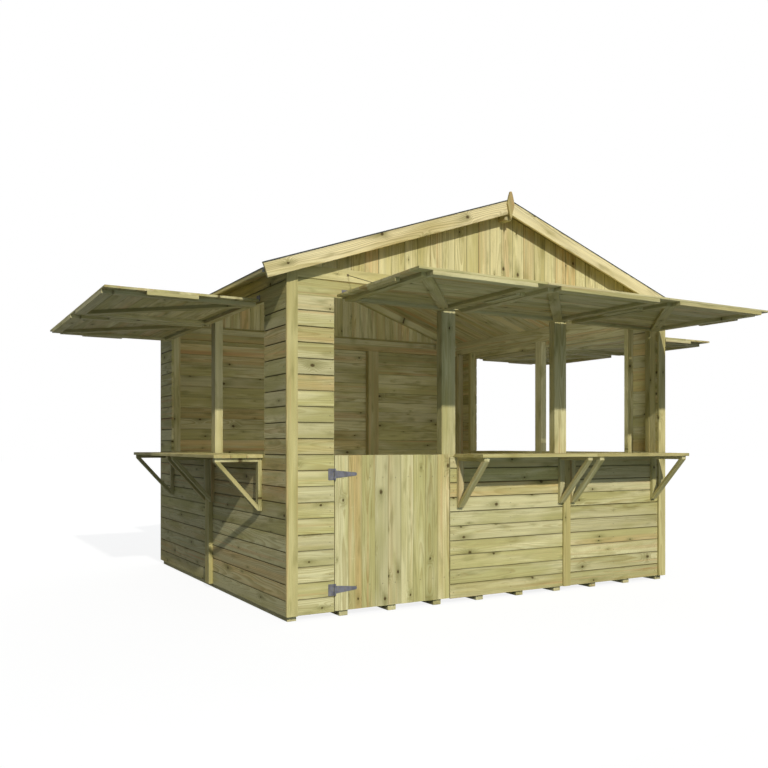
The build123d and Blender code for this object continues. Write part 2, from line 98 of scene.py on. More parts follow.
class BoardProfile(Enum):
    """Sections that the stall's boards are machined to."""

    SHIPLAP = "shiplap"
    TONGUE = "tongue and groove"
    SQUARE = "square edge"


def srgb(red: int, green: int, blue: int) -> Colour:
    """Turn a display colour into a linear one.

    Args:
        red: red from 0 to 255.
        green: green from 0 to 255.
        blue: blue from 0 to 255.

    Returns:
        The linear colour, opaque.
    """
    parts = [value / 255 for value in (red, green, blue)]
    linear = [part / 12.92 if part <= 0.04045 else ((part + 0.055) / 1.055) ** 2.4 for part in parts]
    return linear[0], linear[1], linear[2], 1.0


class Graph:
    """Builds a shader or geometry tree a node at a time."""

    def __init__(self, tree: bpy.types.NodeTree) -> None:
        """Keep the tree that nodes are added to."""
        self.tree = tree

    @classmethod
    def of(cls, owner: bpy.types.Material | bpy.types.World) -> "Graph":
        """Start the empty graph of a new material or world.

        Args:
            owner: the material or world.

        Returns:
            Its graph.
        """
        owner.use_nodes = True
        owner.node_tree.nodes.clear()
        return cls(owner.node_tree)

    def node(self, kind: str, **settings: object) -> bpy.types.Node:
        """Add a node.

        Args:
            kind: the node's type name.
            settings: properties set on the node.

        Returns:
            The new node.
        """
        made = self.tree.nodes.new(kind)
        for name, value in settings.items():
            setattr(made, name, value)
        return made

    def feed(self, target: Socket, value: object) -> None:
        """Link a socket to an input, or set the input's constant.

        Args:
            target: the input.
            value: a socket, a constant, or None to leave the input as it is.
        """
        if isinstance(value, bpy.types.NodeSocket):
            self.tree.links.new(value, target)
        elif value is not None:
            target.default_value = value

    def call(self, kind: str, inputs: dict[str | int, object], output: str | int = 0,
             **settings: object) -> Socket:
        """Add a node, feed some of its inputs and return one output.

        Args:
            kind: the node's type name.
            inputs: values or sockets by the input's name or index.
            output: name or index of the output wanted.
            settings: properties set on the node.

        Returns:
            The output socket.
        """
        made = self.node(kind, **settings)
        for key, value in inputs.items():
            self.feed(made.inputs[key], value)
        return made.outputs[output]

    def surface(self, shader: Socket, output: str = "ShaderNodeOutputMaterial") -> None:
        """Show a shader as the surface of the material or world."""
        self.feed(self.node(output).inputs["Surface"], shader)

    def finish(self, colour: Socket, roughness: Socket, normal: Socket, constants: dict[str, float]) -> None:
        """Show a Principled shader as the surface of the material.

        Args:
            colour: its base colour.
            roughness: its roughness.
            normal: its bumped normal.
            constants: numbers that are the same all over, by the name of the input.
        """
        inputs = {"Base Color": colour, "Roughness": roughness, "Normal": normal, **constants}
        self.surface(self.call("ShaderNodeBsdfPrincipled", inputs, "BSDF"))

    def math(self, operation: str, first: Value, second: Value | None = None) -> Socket:
        """Result of a Math node of one or two inputs."""
        return self.call("ShaderNodeMath", {0: first, 1: second}, operation=operation)

    def times(self, first: Value, second: Value) -> Socket:
        """Product of two values."""
        return self.math("MULTIPLY", first, second)

    def total(self, *terms: Value) -> Socket:
        """Sum several values.

        Args:
            terms: two or more values.

        Returns:
            Their sum.
        """
        result = terms[0]
        for term in terms[1:]:
            result = self.math("ADD", result, term)
        return result

    def scaled(self, value: Value, factor: Value, offset: Value = 0.0) -> Socket:
        """A value times a factor, plus an offset."""
        return self.call("ShaderNodeMath", {0: value, 1: factor, 2: offset}, operation="MULTIPLY_ADD")

    def hypot(self, first: Value, second: Value) -> Socket:
        """Length of a two-part vector."""
        return self.math("SQRT", self.total(self.times(first, first), self.times(second, second)))

    def smooth(self, value: Value, low: Value, high: Value) -> Socket:
        """Smooth step from 0 at low to 1 at high."""
        return self.call("ShaderNodeMapRange", {"Value": value, "From Min": low, "From Max": high},
                         interpolation_type="SMOOTHSTEP")

    def join(self, x: Value, y: Value, z: Value) -> Socket:
        """Vector of three values."""
        return self.call("ShaderNodeCombineXYZ", {"X": x, "Y": y, "Z": z})

    def split(self, vector: Socket) -> tuple[Socket, Socket, Socket]:
        """Take a vector or colour apart.

        Args:
            vector: the vector or colour.

        Returns:
            Its three values.
        """
        made = self.node("ShaderNodeSeparateXYZ")
        self.feed(made.inputs[0], vector)
        return made.outputs[0], made.outputs[1], made.outputs[2]

    def vector(self, operation: str, first: object, second: object) -> Socket:
        """Result of a Vector Math node of two vectors."""
        return self.call("ShaderNodeVectorMath", {0: first, 1: second}, operation=operation)

    def noise(self, vector: Socket, detail: float = 2.0, output: str = "Fac") -> Socket:
        """Noise over a vector that is already scaled."""
        return self.call("ShaderNodeTexNoise", {"Vector": vector, "Scale": 1.0, "Detail": detail}, output)

    def mottle(self, place: Socket, turns: float, detail: float) -> Socket:
        """Noise with so many turns a metre each way."""
        return self.noise(self.vector("MULTIPLY", place, (turns, turns, turns)), detail)

    def bump(self, height: Socket, strength: float, depth: float) -> Socket:
        """Normal of a surface that a height of 1 raises by some metres."""
        return self.call("ShaderNodeBump", {"Height": height, "Strength": strength, "Distance": depth})

    def mix(self, factor: Value, first: object, second: object) -> Socket:
        """Mix two colours."""
        return self.call("ShaderNodeMix", {0: factor, 6: first, 7: second}, 2, data_type="RGBA")

    def blend(self, factor: Value, first: Socket, second: Socket) -> Socket:
        """Mix two shaders."""
        return self.call("ShaderNodeMixShader", {0: factor, 1: first, 2: second})

    def shade(self, colour: Socket, factor: Value) -> Socket:
        """A colour times a plain number."""
        return self.call("ShaderNodeVectorMath", {0: colour, "Scale": factor}, operation="SCALE")


@dataclass(frozen=True)
class Grain:
    """What the attributes of a piece of wood say: places in metres, and random numbers of each board."""

    graph: Graph
    board: Socket
    along: Socket
    across: Socket
    depth: Socket
    run: Socket
    luck: tuple[Socket, ...]

    def noise(self, turns: Triple, output: str = "Fac") -> Socket:
        """Make noise that is drawn out along the grain.

        Args:
            turns: its turns a metre along and across the grain, and its detail.
            output: name of the output wanted.

        Returns:
            The output socket.
        """
        graph = self.graph
        lengthwise, crosswise, detail = turns
        place = graph.join(graph.scaled(self.run, lengthwise), graph.scaled(self.across, crosswise),
                           graph.scaled(self.depth, crosswise))
        return graph.noise(place, detail, output)


@dataclass(frozen=True)
class PineFinish:
    """Pressure-treated pine, seen as slices through a log with knots, stains and a green cast.

    Turns belong to a noise, as Grain.noise takes them. A ramp holds where a smooth step starts and ends, and
    a spread holds a factor and an offset. Boards hold a ramp over a random number of each board.
    """

    name: str
    pale: Colour = srgb(214, 207, 158)
    olive: Colour = srgb(184, 178, 119)
    late: Colour = srgb(152, 132, 74)
    heart: Colour = srgb(203, 158, 108)
    stain: Colour = srgb(124, 119, 66)
    knot: Colour = srgb(70, 52, 26)
    # Colour of the painted shade down in the seams between boards
    seam: Colour = srgb(66, 59, 32)
    honey: Colour = srgb(219, 184, 122)

    board_step: float = 53.0
    lane_step: float = 31.0
    luck_steps: Triple = (917.0, 389.0, 631.0)

    knot_run: float = 0.36
    knot_pitch: float = 0.09
    knot_scatter: float = 0.85
    knot_margin: float = 0.16
    knot_share: float = 0.31
    knot_size: float = 0.0145
    knot_growth: float = 1.35
    knot_ramp: Pair = (0.02, 0.1)
    knot_rim: float = 0.4
    knot_squash: float = 0.72
    knot_spread: Pair = (0.008, -0.004)
    knot_haze: float = 0.001
    pin_size: float = 0.0021
    wobble_turns: float = 110.0
    halo_reach: float = 2.4
    halo_bend: float = 0.02
    smudge_reach: float = 1.7
    smudge_squash: float = 0.3
    smudge_spread: Pair = (0.012, -0.006)

    warp_turns: Triple = (1.3, 8.0, 2.0)
    warp_spread: Pair = (0.03, -0.015)
    lean_spread: Pair = (0.05, -0.025)
    sideways_spread: Pair = (0.13, -0.065)
    inward_spread: Pair = (0.085, 0.012)
    ring_spacing: float = 0.0065
    ring_strength: float = 0.46
    ring_spread: Pair = (0.7, 0.5)
    late_rise: Pair = (0.3, 0.9)
    late_fall: Pair = (1.0, 0.92)

    patch_turns: Triple = (1.6, 10.0, 2.0)
    patch_spread: Pair = (0.34, -0.17)
    patch_ramp: Pair = (0.36, 0.68)
    patch_share: float = 0.95
    honey_boards: Pair = (0.66, 0.95)
    honey_turns: Triple = (0.8, 24.0, 2.0)
    honey_ramp: Pair = (0.36, 0.64)
    honey_spread: Pair = (0.75, 0.25)
    honey_share: float = 0.6
    streak_boards: Pair = (0.3, 0.8)
    streak_turns: Triple = (0.5, 34.0, 2.0)
    streak_ramp: Pair = (0.54, 0.72)
    streak_share: float = 0.55
    heart_boards: Pair = (0.55, 0.9)
    heart_ramp: Pair = (0.045, 0.016)
    heart_share: float = 0.4
    warm_most: float = 0.7
    cloud_turns: Triple = (4.0, 19.0, 3.0)
    cloud_ramp: Pair = (0.53, 0.76)
    cloud_share: float = 0.5
    fibre_turns: Triple = (6.0, 330.0, 3.0)
    fibre_spread: Pair = (0.24, 0.88)
    grit_turns: Triple = (1.3, 46.0, 3.0)
    grit_spread: Pair = (0.56, 0.72)
    tone_low: float = 0.86
    tone_span: float = 0.27

    smudge_share: float = 0.62
    core_share: float = 0.86
    # Spread over the boards of the painted seam shade's strength
    seam_shade_spread: Pair = (0.4, 0.5)
    relief: Triple = (0.5, 0.7, -0.6)
    bump: float = 0.35
    bump_depth: float = 0.0009
    roughness_spread: Pair = (0.22, 0.58)
    specular: float = 0.1

    def material(self) -> bpy.types.Material:
        """Build the wood's material.

        Returns:
            A material that reads the grain, board and painted seam-shade attributes of a piece.
        """
        made = bpy.data.materials.new(self.name)
        graph = Graph.of(made)
        grain = self._grain(graph)
        halo, smudge, core = self._knots(grain)
        radius = self._radius(grain, halo)
        late = self._late_wood(graph, radius)
        fibre = grain.noise(self.fibre_turns)
        colour = self._marked(grain, self._colour(grain, fibre, radius, late), smudge, core)
        marks = zip((late, fibre, core), self.relief)
        height = graph.total(*(graph.scaled(mark, rise) for mark, rise in marks))
        graph.finish(colour, graph.scaled(fibre, *self.roughness_spread),
                     graph.bump(height, self.bump, self.bump_depth), {"Specular IOR Level": self.specular})
        return made

    def _grain(self, graph: Graph) -> Grain:
        """Read the attributes of the piece.

        Args:
            graph: the material's graph.

        Returns:
            The places in the wood and nine random numbers, from 0 to 1, of each board.
        """
        place = graph.call("ShaderNodeAttribute", {}, "Vector", attribute_name=GRAIN)
        board = graph.call("ShaderNodeAttribute", {}, "Fac", attribute_name=BOARD)
        along, across, depth = graph.split(place)
        luck = []
        for step in self.luck_steps:
            number = graph.scaled(board, step)
            luck += graph.split(graph.call("ShaderNodeTexWhiteNoise", {"W": number}, "Color",
                                           noise_dimensions="1D"))
        run = graph.scaled(board, self.board_step, along)
        return Grain(graph, board, along, across, depth, run, tuple(luck))

    def _knots(self, grain: Grain) -> tuple[Socket, Socket, Socket]:
        """Scatter knots along the boards.

        Args:
            grain: the places in the wood.

        Returns:
            The soft field in which grain bends round a knot, the stain drawn out along the grain beside it,
            and its dark core.
        """
        graph, run, across = grain.graph, grain.run, grain.across
        lane = graph.scaled(grain.board, self.lane_step)
        cell = graph.join(graph.scaled(run, 1 / self.knot_run),
                          graph.scaled(across, 1 / self.knot_pitch, lane), 0.0)
        seeds = graph.node("ShaderNodeTexVoronoi", voronoi_dimensions="2D")
        borders = graph.node("ShaderNodeTexVoronoi", voronoi_dimensions="2D", feature="DISTANCE_TO_EDGE")
        for cells in (seeds, borders):
            for key, value in (("Vector", cell), ("Scale", 1.0), ("Randomness", self.knot_scatter)):
                graph.feed(cells.inputs[key], value)
        knot_cell, knot_lane, _ = graph.split(seeds.outputs["Position"])
        chance = graph.split(seeds.outputs["Color"])[0]
        knot_across = graph.scaled(graph.math("SUBTRACT", knot_lane, lane), self.knot_pitch)
        beside = graph.math("SUBTRACT", run, graph.scaled(knot_cell, self.knot_run))
        aside = graph.math("SUBTRACT", across, knot_across)
        wobble = graph.noise(graph.join(graph.scaled(run, self.wobble_turns),
                                        graph.scaled(across, self.wobble_turns), lane))
        size = graph.math("MAXIMUM", graph.scaled(chance, 1 / self.knot_share, 1 - 1 / self.knot_share), 0.0)
        radius = graph.scaled(graph.math("POWER", size, self.knot_growth), self.knot_size, self.pin_size)
        inside = graph.smooth(borders.outputs["Distance"], 0.0, self.knot_margin)
        present = graph.times(graph.smooth(size, *self.knot_ramp), inside)

        def away(squash: float, spread: Pair) -> Socket:
            """Uneven distance from the knot, drawn out along the grain."""
            even = graph.hypot(graph.scaled(beside, squash), aside)
            return graph.total(even, graph.scaled(wobble, *spread))

        def bell(distance: Socket, reach: float) -> Socket:
            """Make a bell over a distance.

            Args:
                distance: the distance from the knot.
                reach: how many radii of the knot the bell is wide.

            Returns:
                1 at the knot and 0 far from it.
            """
            share = graph.math("DIVIDE", distance, graph.scaled(radius, reach, self.knot_haze))
            fade = graph.math("EXPONENT", graph.scaled(graph.times(share, share), -1.0))
            return graph.times(fade, present)

        near = away(self.knot_squash, self.knot_spread)
        smudge = bell(away(self.smudge_squash, self.smudge_spread), self.smudge_reach)
        core = graph.smooth(near, radius, graph.scaled(radius, self.knot_rim))
        return bell(near, self.halo_reach), smudge, graph.times(core, present)

    def _radius(self, grain: Grain, halo: Socket) -> Socket:
        """Find the distance from the heart of the log that the board was cut from.

        Args:
            grain: the places in the wood.
            halo: the field in which grain bends round a knot.

        Returns:
            The distance in metres.
        """
        graph, luck = grain.graph, grain.luck
        warp = graph.split(grain.noise(self.warp_turns, "Color"))
        lean = graph.times(grain.along, graph.scaled(luck[2], *self.lean_spread))
        sideways = graph.total(grain.across, graph.scaled(luck[0], *self.sideways_spread),
                               graph.scaled(warp[0], *self.warp_spread))
        inward = graph.total(grain.depth, graph.scaled(luck[1], *self.inward_spread),
                             graph.scaled(warp[1], *self.warp_spread), lean)
        return graph.total(graph.hypot(sideways, inward), graph.scaled(halo, self.halo_bend))

    def _late_wood(self, graph: Graph, radius: Socket) -> Socket:
        """Dark late wood at the outer side of each ring."""
        saw = graph.math("FRACT", graph.scaled(radius, 1 / self.ring_spacing))
        return graph.times(graph.smooth(saw, *self.late_rise), graph.smooth(saw, *self.late_fall))

    def _colour(self, grain: Grain, fibre: Socket, radius: Socket, late: Socket) -> Socket:
        """Lay the clear wood's colours over each other.

        Args:
            grain: the places in the wood.
            fibre: noise of the fibres.
            radius: distance from the heart of the log.
            late: share of late wood.

        Returns:
            The colour without knots and seams.
        """
        graph, luck = grain.graph, grain.luck
        patch = graph.total(grain.noise(self.patch_turns), graph.scaled(luck[3], *self.patch_spread))
        colour = graph.mix(graph.scaled(graph.smooth(patch, *self.patch_ramp), self.patch_share),
                           self.pale, self.olive)
        mellow = graph.smooth(grain.noise(self.honey_turns), *self.honey_ramp)
        mellow = graph.times(graph.smooth(luck[6], *self.honey_boards),
                             graph.scaled(mellow, *self.honey_spread))
        colour = graph.mix(graph.scaled(mellow, self.honey_share), colour, self.honey)
        streaked = graph.times(graph.smooth(grain.noise(self.streak_turns), *self.streak_ramp),
                               graph.smooth(luck[4], *self.streak_boards))
        hearted = graph.times(graph.smooth(radius, *self.heart_ramp),
                              graph.smooth(luck[4], *self.heart_boards))
        warm = graph.total(graph.scaled(streaked, self.streak_share), graph.scaled(hearted, self.heart_share))
        colour = graph.mix(graph.math("MINIMUM", warm, self.warm_most), colour, self.heart)
        cloud = graph.smooth(grain.noise(self.cloud_turns), *self.cloud_ramp)
        colour = graph.mix(graph.scaled(cloud, self.cloud_share), colour, self.stain)
        strength = graph.times(graph.scaled(luck[5], *self.ring_spread), self.ring_strength)
        colour = graph.mix(graph.times(late, strength), colour, self.late)
        tone = graph.scaled(luck[0], self.tone_span, self.tone_low)
        grit = graph.times(graph.scaled(grain.noise(self.grit_turns), *self.grit_spread),
                           graph.scaled(fibre, *self.fibre_spread))
        return graph.shade(colour, graph.times(tone, grit))

    def _marked(self, grain: Grain, colour: Socket, smudge: Socket, core: Socket) -> Socket:
        """Darken the wood round knots and at their cores, and paint shade down in the seams between boards.

        Args:
            grain: the places in the wood.
            colour: colour of the clear wood.
            smudge: the stain beside the knots.
            core: the cores of the knots.

        Returns:
            The marked colour.
        """
        graph = grain.graph
        # Painted shade: the seam attribute darkens the wood down in the joints between boards, towards the
        # seam colour
        seam = graph.call("ShaderNodeAttribute", {}, "Fac", attribute_name=SEAM_SHADE)
        colour = graph.mix(graph.scaled(smudge, self.smudge_share), colour, self.stain)
        colour = graph.mix(graph.scaled(core, self.core_share), colour, self.knot)
        strength = graph.scaled(grain.luck[7], *self.seam_shade_spread)
        return graph.mix(graph.times(seam, strength), colour, self.seam)


@dataclass(frozen=True)
class FeltFinish:
    """Mineral roofing felt: dark bitumen with pale grit."""

    name: str = "mineral_felt"
    bitumen: Colour = srgb(44, 46, 45)
    grit: Colour = srgb(104, 108, 104)
    grit_scale: float = 900.0
    grit_ramp: Pair = (0.25, 0.95)
    cloud_turns: float = 2.2
    cloud_detail: float = 4.0
    cloud_spread: Pair = (0.8, 0.35)
    roughness_spread: Pair = (0.25, 0.68)
    specular: float = 0.35
    bump: float = 0.6
    bump_depth: float = 0.0008

    def material(self) -> bpy.types.Material:
        """Build the felt's material.

        Returns:
            A material that reads Object coordinates.
        """
        made = bpy.data.materials.new(self.name)
        graph = Graph.of(made)
        place = graph.call("ShaderNodeTexCoord", {}, "Object")
        grains = graph.node("ShaderNodeTexVoronoi")
        graph.feed(grains.inputs["Vector"], place)
        graph.feed(grains.inputs["Scale"], self.grit_scale)
        cloud = graph.mottle(place, self.cloud_turns, self.cloud_detail)
        pick = graph.split(grains.outputs["Color"])
        shine = graph.times(graph.smooth(pick[0], *self.grit_ramp), graph.scaled(cloud, *self.cloud_spread))
        graph.finish(graph.mix(shine, self.bitumen, self.grit), graph.scaled(pick[1], *self.roughness_spread),
                     graph.bump(grains.outputs["Distance"], self.bump, self.bump_depth),
                     {"Specular IOR Level": self.specular})
        return made


@dataclass(frozen=True)
class MetalFinish:
    """Painted or galvanised metal with a faint mottle."""

    name: str
    light: Colour
    dark: Colour
    metallic: float
    roughness: float
    roughness_span: float = 0.2
    mottle_turns: float = 38.0
    mottle_detail: float = 4.0
    mottle_ramp: Pair = (0.3, 0.7)
    speck_turns: float = 700.0
    speck_detail: float = 2.0
    speck_spread: Pair = (0.3, -0.15)
    bump: float = 0.25
    bump_depth: float = 0.0003

    def material(self) -> bpy.types.Material:
        """Build the metal's material.

        Returns:
            A material that reads Object coordinates.
        """
        made = bpy.data.materials.new(self.name)
        graph = Graph.of(made)
        place = graph.call("ShaderNodeTexCoord", {}, "Object")
        mottle = graph.mottle(place, self.mottle_turns, self.mottle_detail)
        speck = graph.mottle(place, self.speck_turns, self.speck_detail)
        tone = graph.smooth(graph.total(mottle, graph.scaled(speck, *self.speck_spread)), *self.mottle_ramp)
        roughness = graph.scaled(mottle, self.roughness_span, self.roughness - self.roughness_span / 2)
        graph.finish(graph.mix(tone, self.dark, self.light), roughness,
                     graph.bump(speck, self.bump, self.bump_depth), {"Metallic": self.metallic})
        return made


@dataclass
class Finishes:
    """Every finish of the stall, made once."""

    boards: bpy.types.Material = field(default_factory=PineFinish("pine_boards").material)
    gable: bpy.types.Material = field(default_factory=PineFinish(
        "pine_gable", pale=srgb(226, 218, 166), olive=srgb(199, 190, 130), honey_share=0.75, tone_low=0.92,
        tone_span=0.18).material)
    timber: bpy.types.Material = field(default_factory=PineFinish(
        "pine_timber", pale=srgb(215, 208, 159), olive=srgb(189, 182, 125), knot_share=0.25, honey_share=0.15,
        tone_low=0.87, tone_span=0.18).material)
    trim: bpy.types.Material = field(default_factory=PineFinish(
        "pine_trim", pale=srgb(205, 196, 139), olive=srgb(182, 173, 113), knot_share=0.2, honey_share=0.15,
        ring_strength=0.45, tone_low=0.92, tone_span=0.14).material)
    barge: bpy.types.Material = field(default_factory=PineFinish(
        "pine_barge", pale=srgb(240, 228, 180), olive=srgb(212, 199, 142), knot_share=0.34, honey_share=0.15,
        tone_low=1.0, tone_span=0.05).material)
    finial: bpy.types.Material = field(default_factory=PineFinish(
        "pine_finial", pale=srgb(190, 179, 124), olive=srgb(166, 156, 100), knot_share=0.05,
        honey_share=0.15).material)
    felt: bpy.types.Material = field(default_factory=FeltFinish().material)
    slate: bpy.types.Material = field(default_factory=MetalFinish(
        "slate_ironwork", srgb(116, 116, 123), srgb(93, 93, 100), metallic=0.0, roughness=0.5).material)
    steel: bpy.types.Material = field(default_factory=MetalFinish(
        "dull_steel", srgb(136, 127, 96), srgb(102, 94, 66), metallic=0.35, roughness=0.55).material)


@dataclass(frozen=True)
class SolidBox:
    """Box round one solid of a CAD node."""

    low: Vector
    high: Vector

    @property
    def size(self) -> Vector:
        """Extent along each axis."""
        return self.high - self.low

    @property
    def centre(self) -> Vector:
        """Middle of the box."""
        return (self.low + self.high) / 2

    def split(self, axis: int, places: Iterable[float]) -> list["SolidBox"]:
        """Cut the box across an axis.

        Args:
            axis: number of the axis.
            places: where to cut.

        Returns:
            The parts in order.
        """
        edges = [self.low[axis], *sorted(places), self.high[axis]]
        parts = []
        for start, end in zip(edges, edges[1:]):
            low, high = self.low.copy(), self.high.copy()
            low[axis], high[axis] = start, end
            parts.append(SolidBox(low, high))
        return parts


@dataclass(frozen=True)
class Lay:
    """How boards lie: a corner of the panel's face, the way they run and the way they stack."""

    origin: Vector
    along: Vector
    stack: Vector

    @property
    def out(self) -> Vector:
        """The way the panel faces."""
        return self.along.cross(self.stack)

    @property
    def matrix(self) -> Matrix:
        """Transform from panel to stall.

        Returns:
            A matrix whose columns are the lay's directions and its origin.
        """
        columns = [self.along.normalized(), self.stack.normalized(), self.out.normalized(), self.origin]
        made = Matrix.Identity(4)
        for index, column in enumerate(columns):
            made.col[index].xyz = column
        return made


def welded(node: str) -> bmesh.types.BMesh:
    """Copy a CAD node's mesh, merge its triangles' corners and join its flat faces.

    Args:
        node: name of the CAD node.

    Returns:
        A new BMesh that the caller frees.
    """
    work = bmesh.new()
    work.from_mesh(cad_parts[node].data)
    bmesh.ops.remove_doubles(work, verts=work.verts, dist=WELD)
    bmesh.ops.dissolve_limit(work, angle_limit=math.radians(FLAT), verts=work.verts, edges=work.edges)
    return work


def islands(work: bmesh.types.BMesh) -> list[list[bmesh.types.BMVert]]:
    """Group a mesh's corners by connected solid.

    Args:
        work: the mesh.

    Returns:
        The corners of each solid.
    """
    seen: set[bmesh.types.BMVert] = set()
    groups = []
    for start in work.verts:
        if start in seen:
            continue
        seen.add(start)
        group = [start]
        for vert in group:
            for edge in vert.link_edges:
                other = edge.other_vert(vert)
                if other not in seen:
                    seen.add(other)
                    group.append(other)
        groups.append(group)
    return groups


def sharp_edges(work: bmesh.types.BMesh, angle: float) -> list[bmesh.types.BMEdge]:
    """Edges of a solid at which its faces turn by more than an angle in degrees."""
    return [edge for edge in work.edges
            if len(edge.link_faces) == 2 and edge.calc_face_angle() > math.radians(angle)]


def solid_boxes(node: str) -> list[SolidBox]:
    """Measure the solids of a CAD node.

    Args:
        node: name of the CAD node.

    Returns:
        Box of each solid, ordered along X, then Y, then Z.
    """
    work = welded(node)
    boxes = []
    for group in islands(work):
        places = list(zip(*(vert.co for vert in group)))
        boxes.append(SolidBox(Vector(map(min, places)), Vector(map(max, places))))
    work.free()
    return sorted(boxes, key=lambda box: tuple(round(value, 4) for value in box.centre))


def skin(work: bmesh.types.BMesh, rings: Sequence[Sequence[bmesh.types.BMVert]]) -> None:
    """Close a row of rings into a solid.

    Args:
        work: the mesh that the rings are in.
        rings: rings of equal length, in order.
    """
    for first, second in zip(rings, rings[1:]):
        for index in range(len(first)):
            after = (index + 1) % len(first)
            work.faces.new((first[index], first[after], second[after], second[index]))
    work.faces.new(rings[0])
    work.faces.new(rings[-1])
    bmesh.ops.recalc_face_normals(work, faces=work.faces)


def poured(work: bmesh.types.BMesh, name: str, material: bpy.types.Material | None = None) -> bpy.types.Mesh:
    """Turn a BMesh into a plain mesh.

    Args:
        work: the BMesh, which is freed.
        name: name of the mesh.
        material: its material, if it has one yet.

    Returns:
        The plain mesh.
    """
    made = bpy.data.meshes.new(name)
    work.to_mesh(made)
    work.free()
    if material:
        made.materials.append(material)
    return made


def joined(meshes: Sequence[bpy.types.Mesh], name: str) -> bpy.types.Mesh:
    """Join meshes of one material, with their grain, board and painted seam-shade attributes.

    Args:
        meshes: meshes to join, which are removed.
        name: name of the new mesh.

    Returns:
        The joined mesh.
    """
    places, faces = [], []
    values = {attribute: [] for attribute in ATTRIBUTES}
    for mesh in meshes:
        first = len(places)
        places += [tuple(vert.co) for vert in mesh.vertices]
        faces += [[first + index for index in face.vertices] for face in mesh.polygons]
        for attribute, (_, key, count) in ATTRIBUTES.items():
            part = [0.0] * (len(mesh.vertices) * count)
            stored = mesh.attributes.get(attribute)
            if stored:
                stored.data.foreach_get(key, part)
            values[attribute] += part
    made = bpy.data.meshes.new(name)
    made.from_pydata(places, [], faces)
    for attribute, (kind, key, _) in ATTRIBUTES.items():
        made.attributes.new(attribute, kind, "POINT").data.foreach_set(key, values[attribute])
    made.materials.append(meshes[0].materials[0])
    for mesh in meshes:
        bpy.data.meshes.remove(mesh)
    made.update()
    return made


def placed(name: str, data: bpy.types.ID) -> bpy.types.Object:
    """Put an object into the scene.

    Args:
        name: the object's name.
        data: its mesh, lamp or camera.

    Returns:
        The new object.
    """
    made = bpy.data.objects.new(name, data)
    bpy.context.scene.collection.objects.link(made)
    return made


def piece(name: str, mesh: bpy.types.Mesh, nodes: Sequence[str], body: Body = Body.STALL) -> None:
    """Make a finished piece of the stall, hide the CAD nodes that it stands for and hang it on its body.

    Args:
        name: the piece's name.
        mesh: its mesh, in the stall's own frame.
        nodes: CAD nodes that it stands for.
        body: the body that it rides on.
    """
    made = placed(name, mesh)
    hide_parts(*nodes)
    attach(made, body.value)
    stands_for = ", ".join(nodes) or "no node"
    LOG.info("%s: %d faces on %s, for %s", name, len(mesh.polygons), body.value, stands_for)


def boarded(name: str, meshes: Sequence[bpy.types.Mesh], nodes: Sequence[str],
            body: Body = Body.STALL) -> None:
    """Join meshes into one finished piece, with the same arguments as a piece."""
    piece(name, joined(meshes, name), nodes, body)


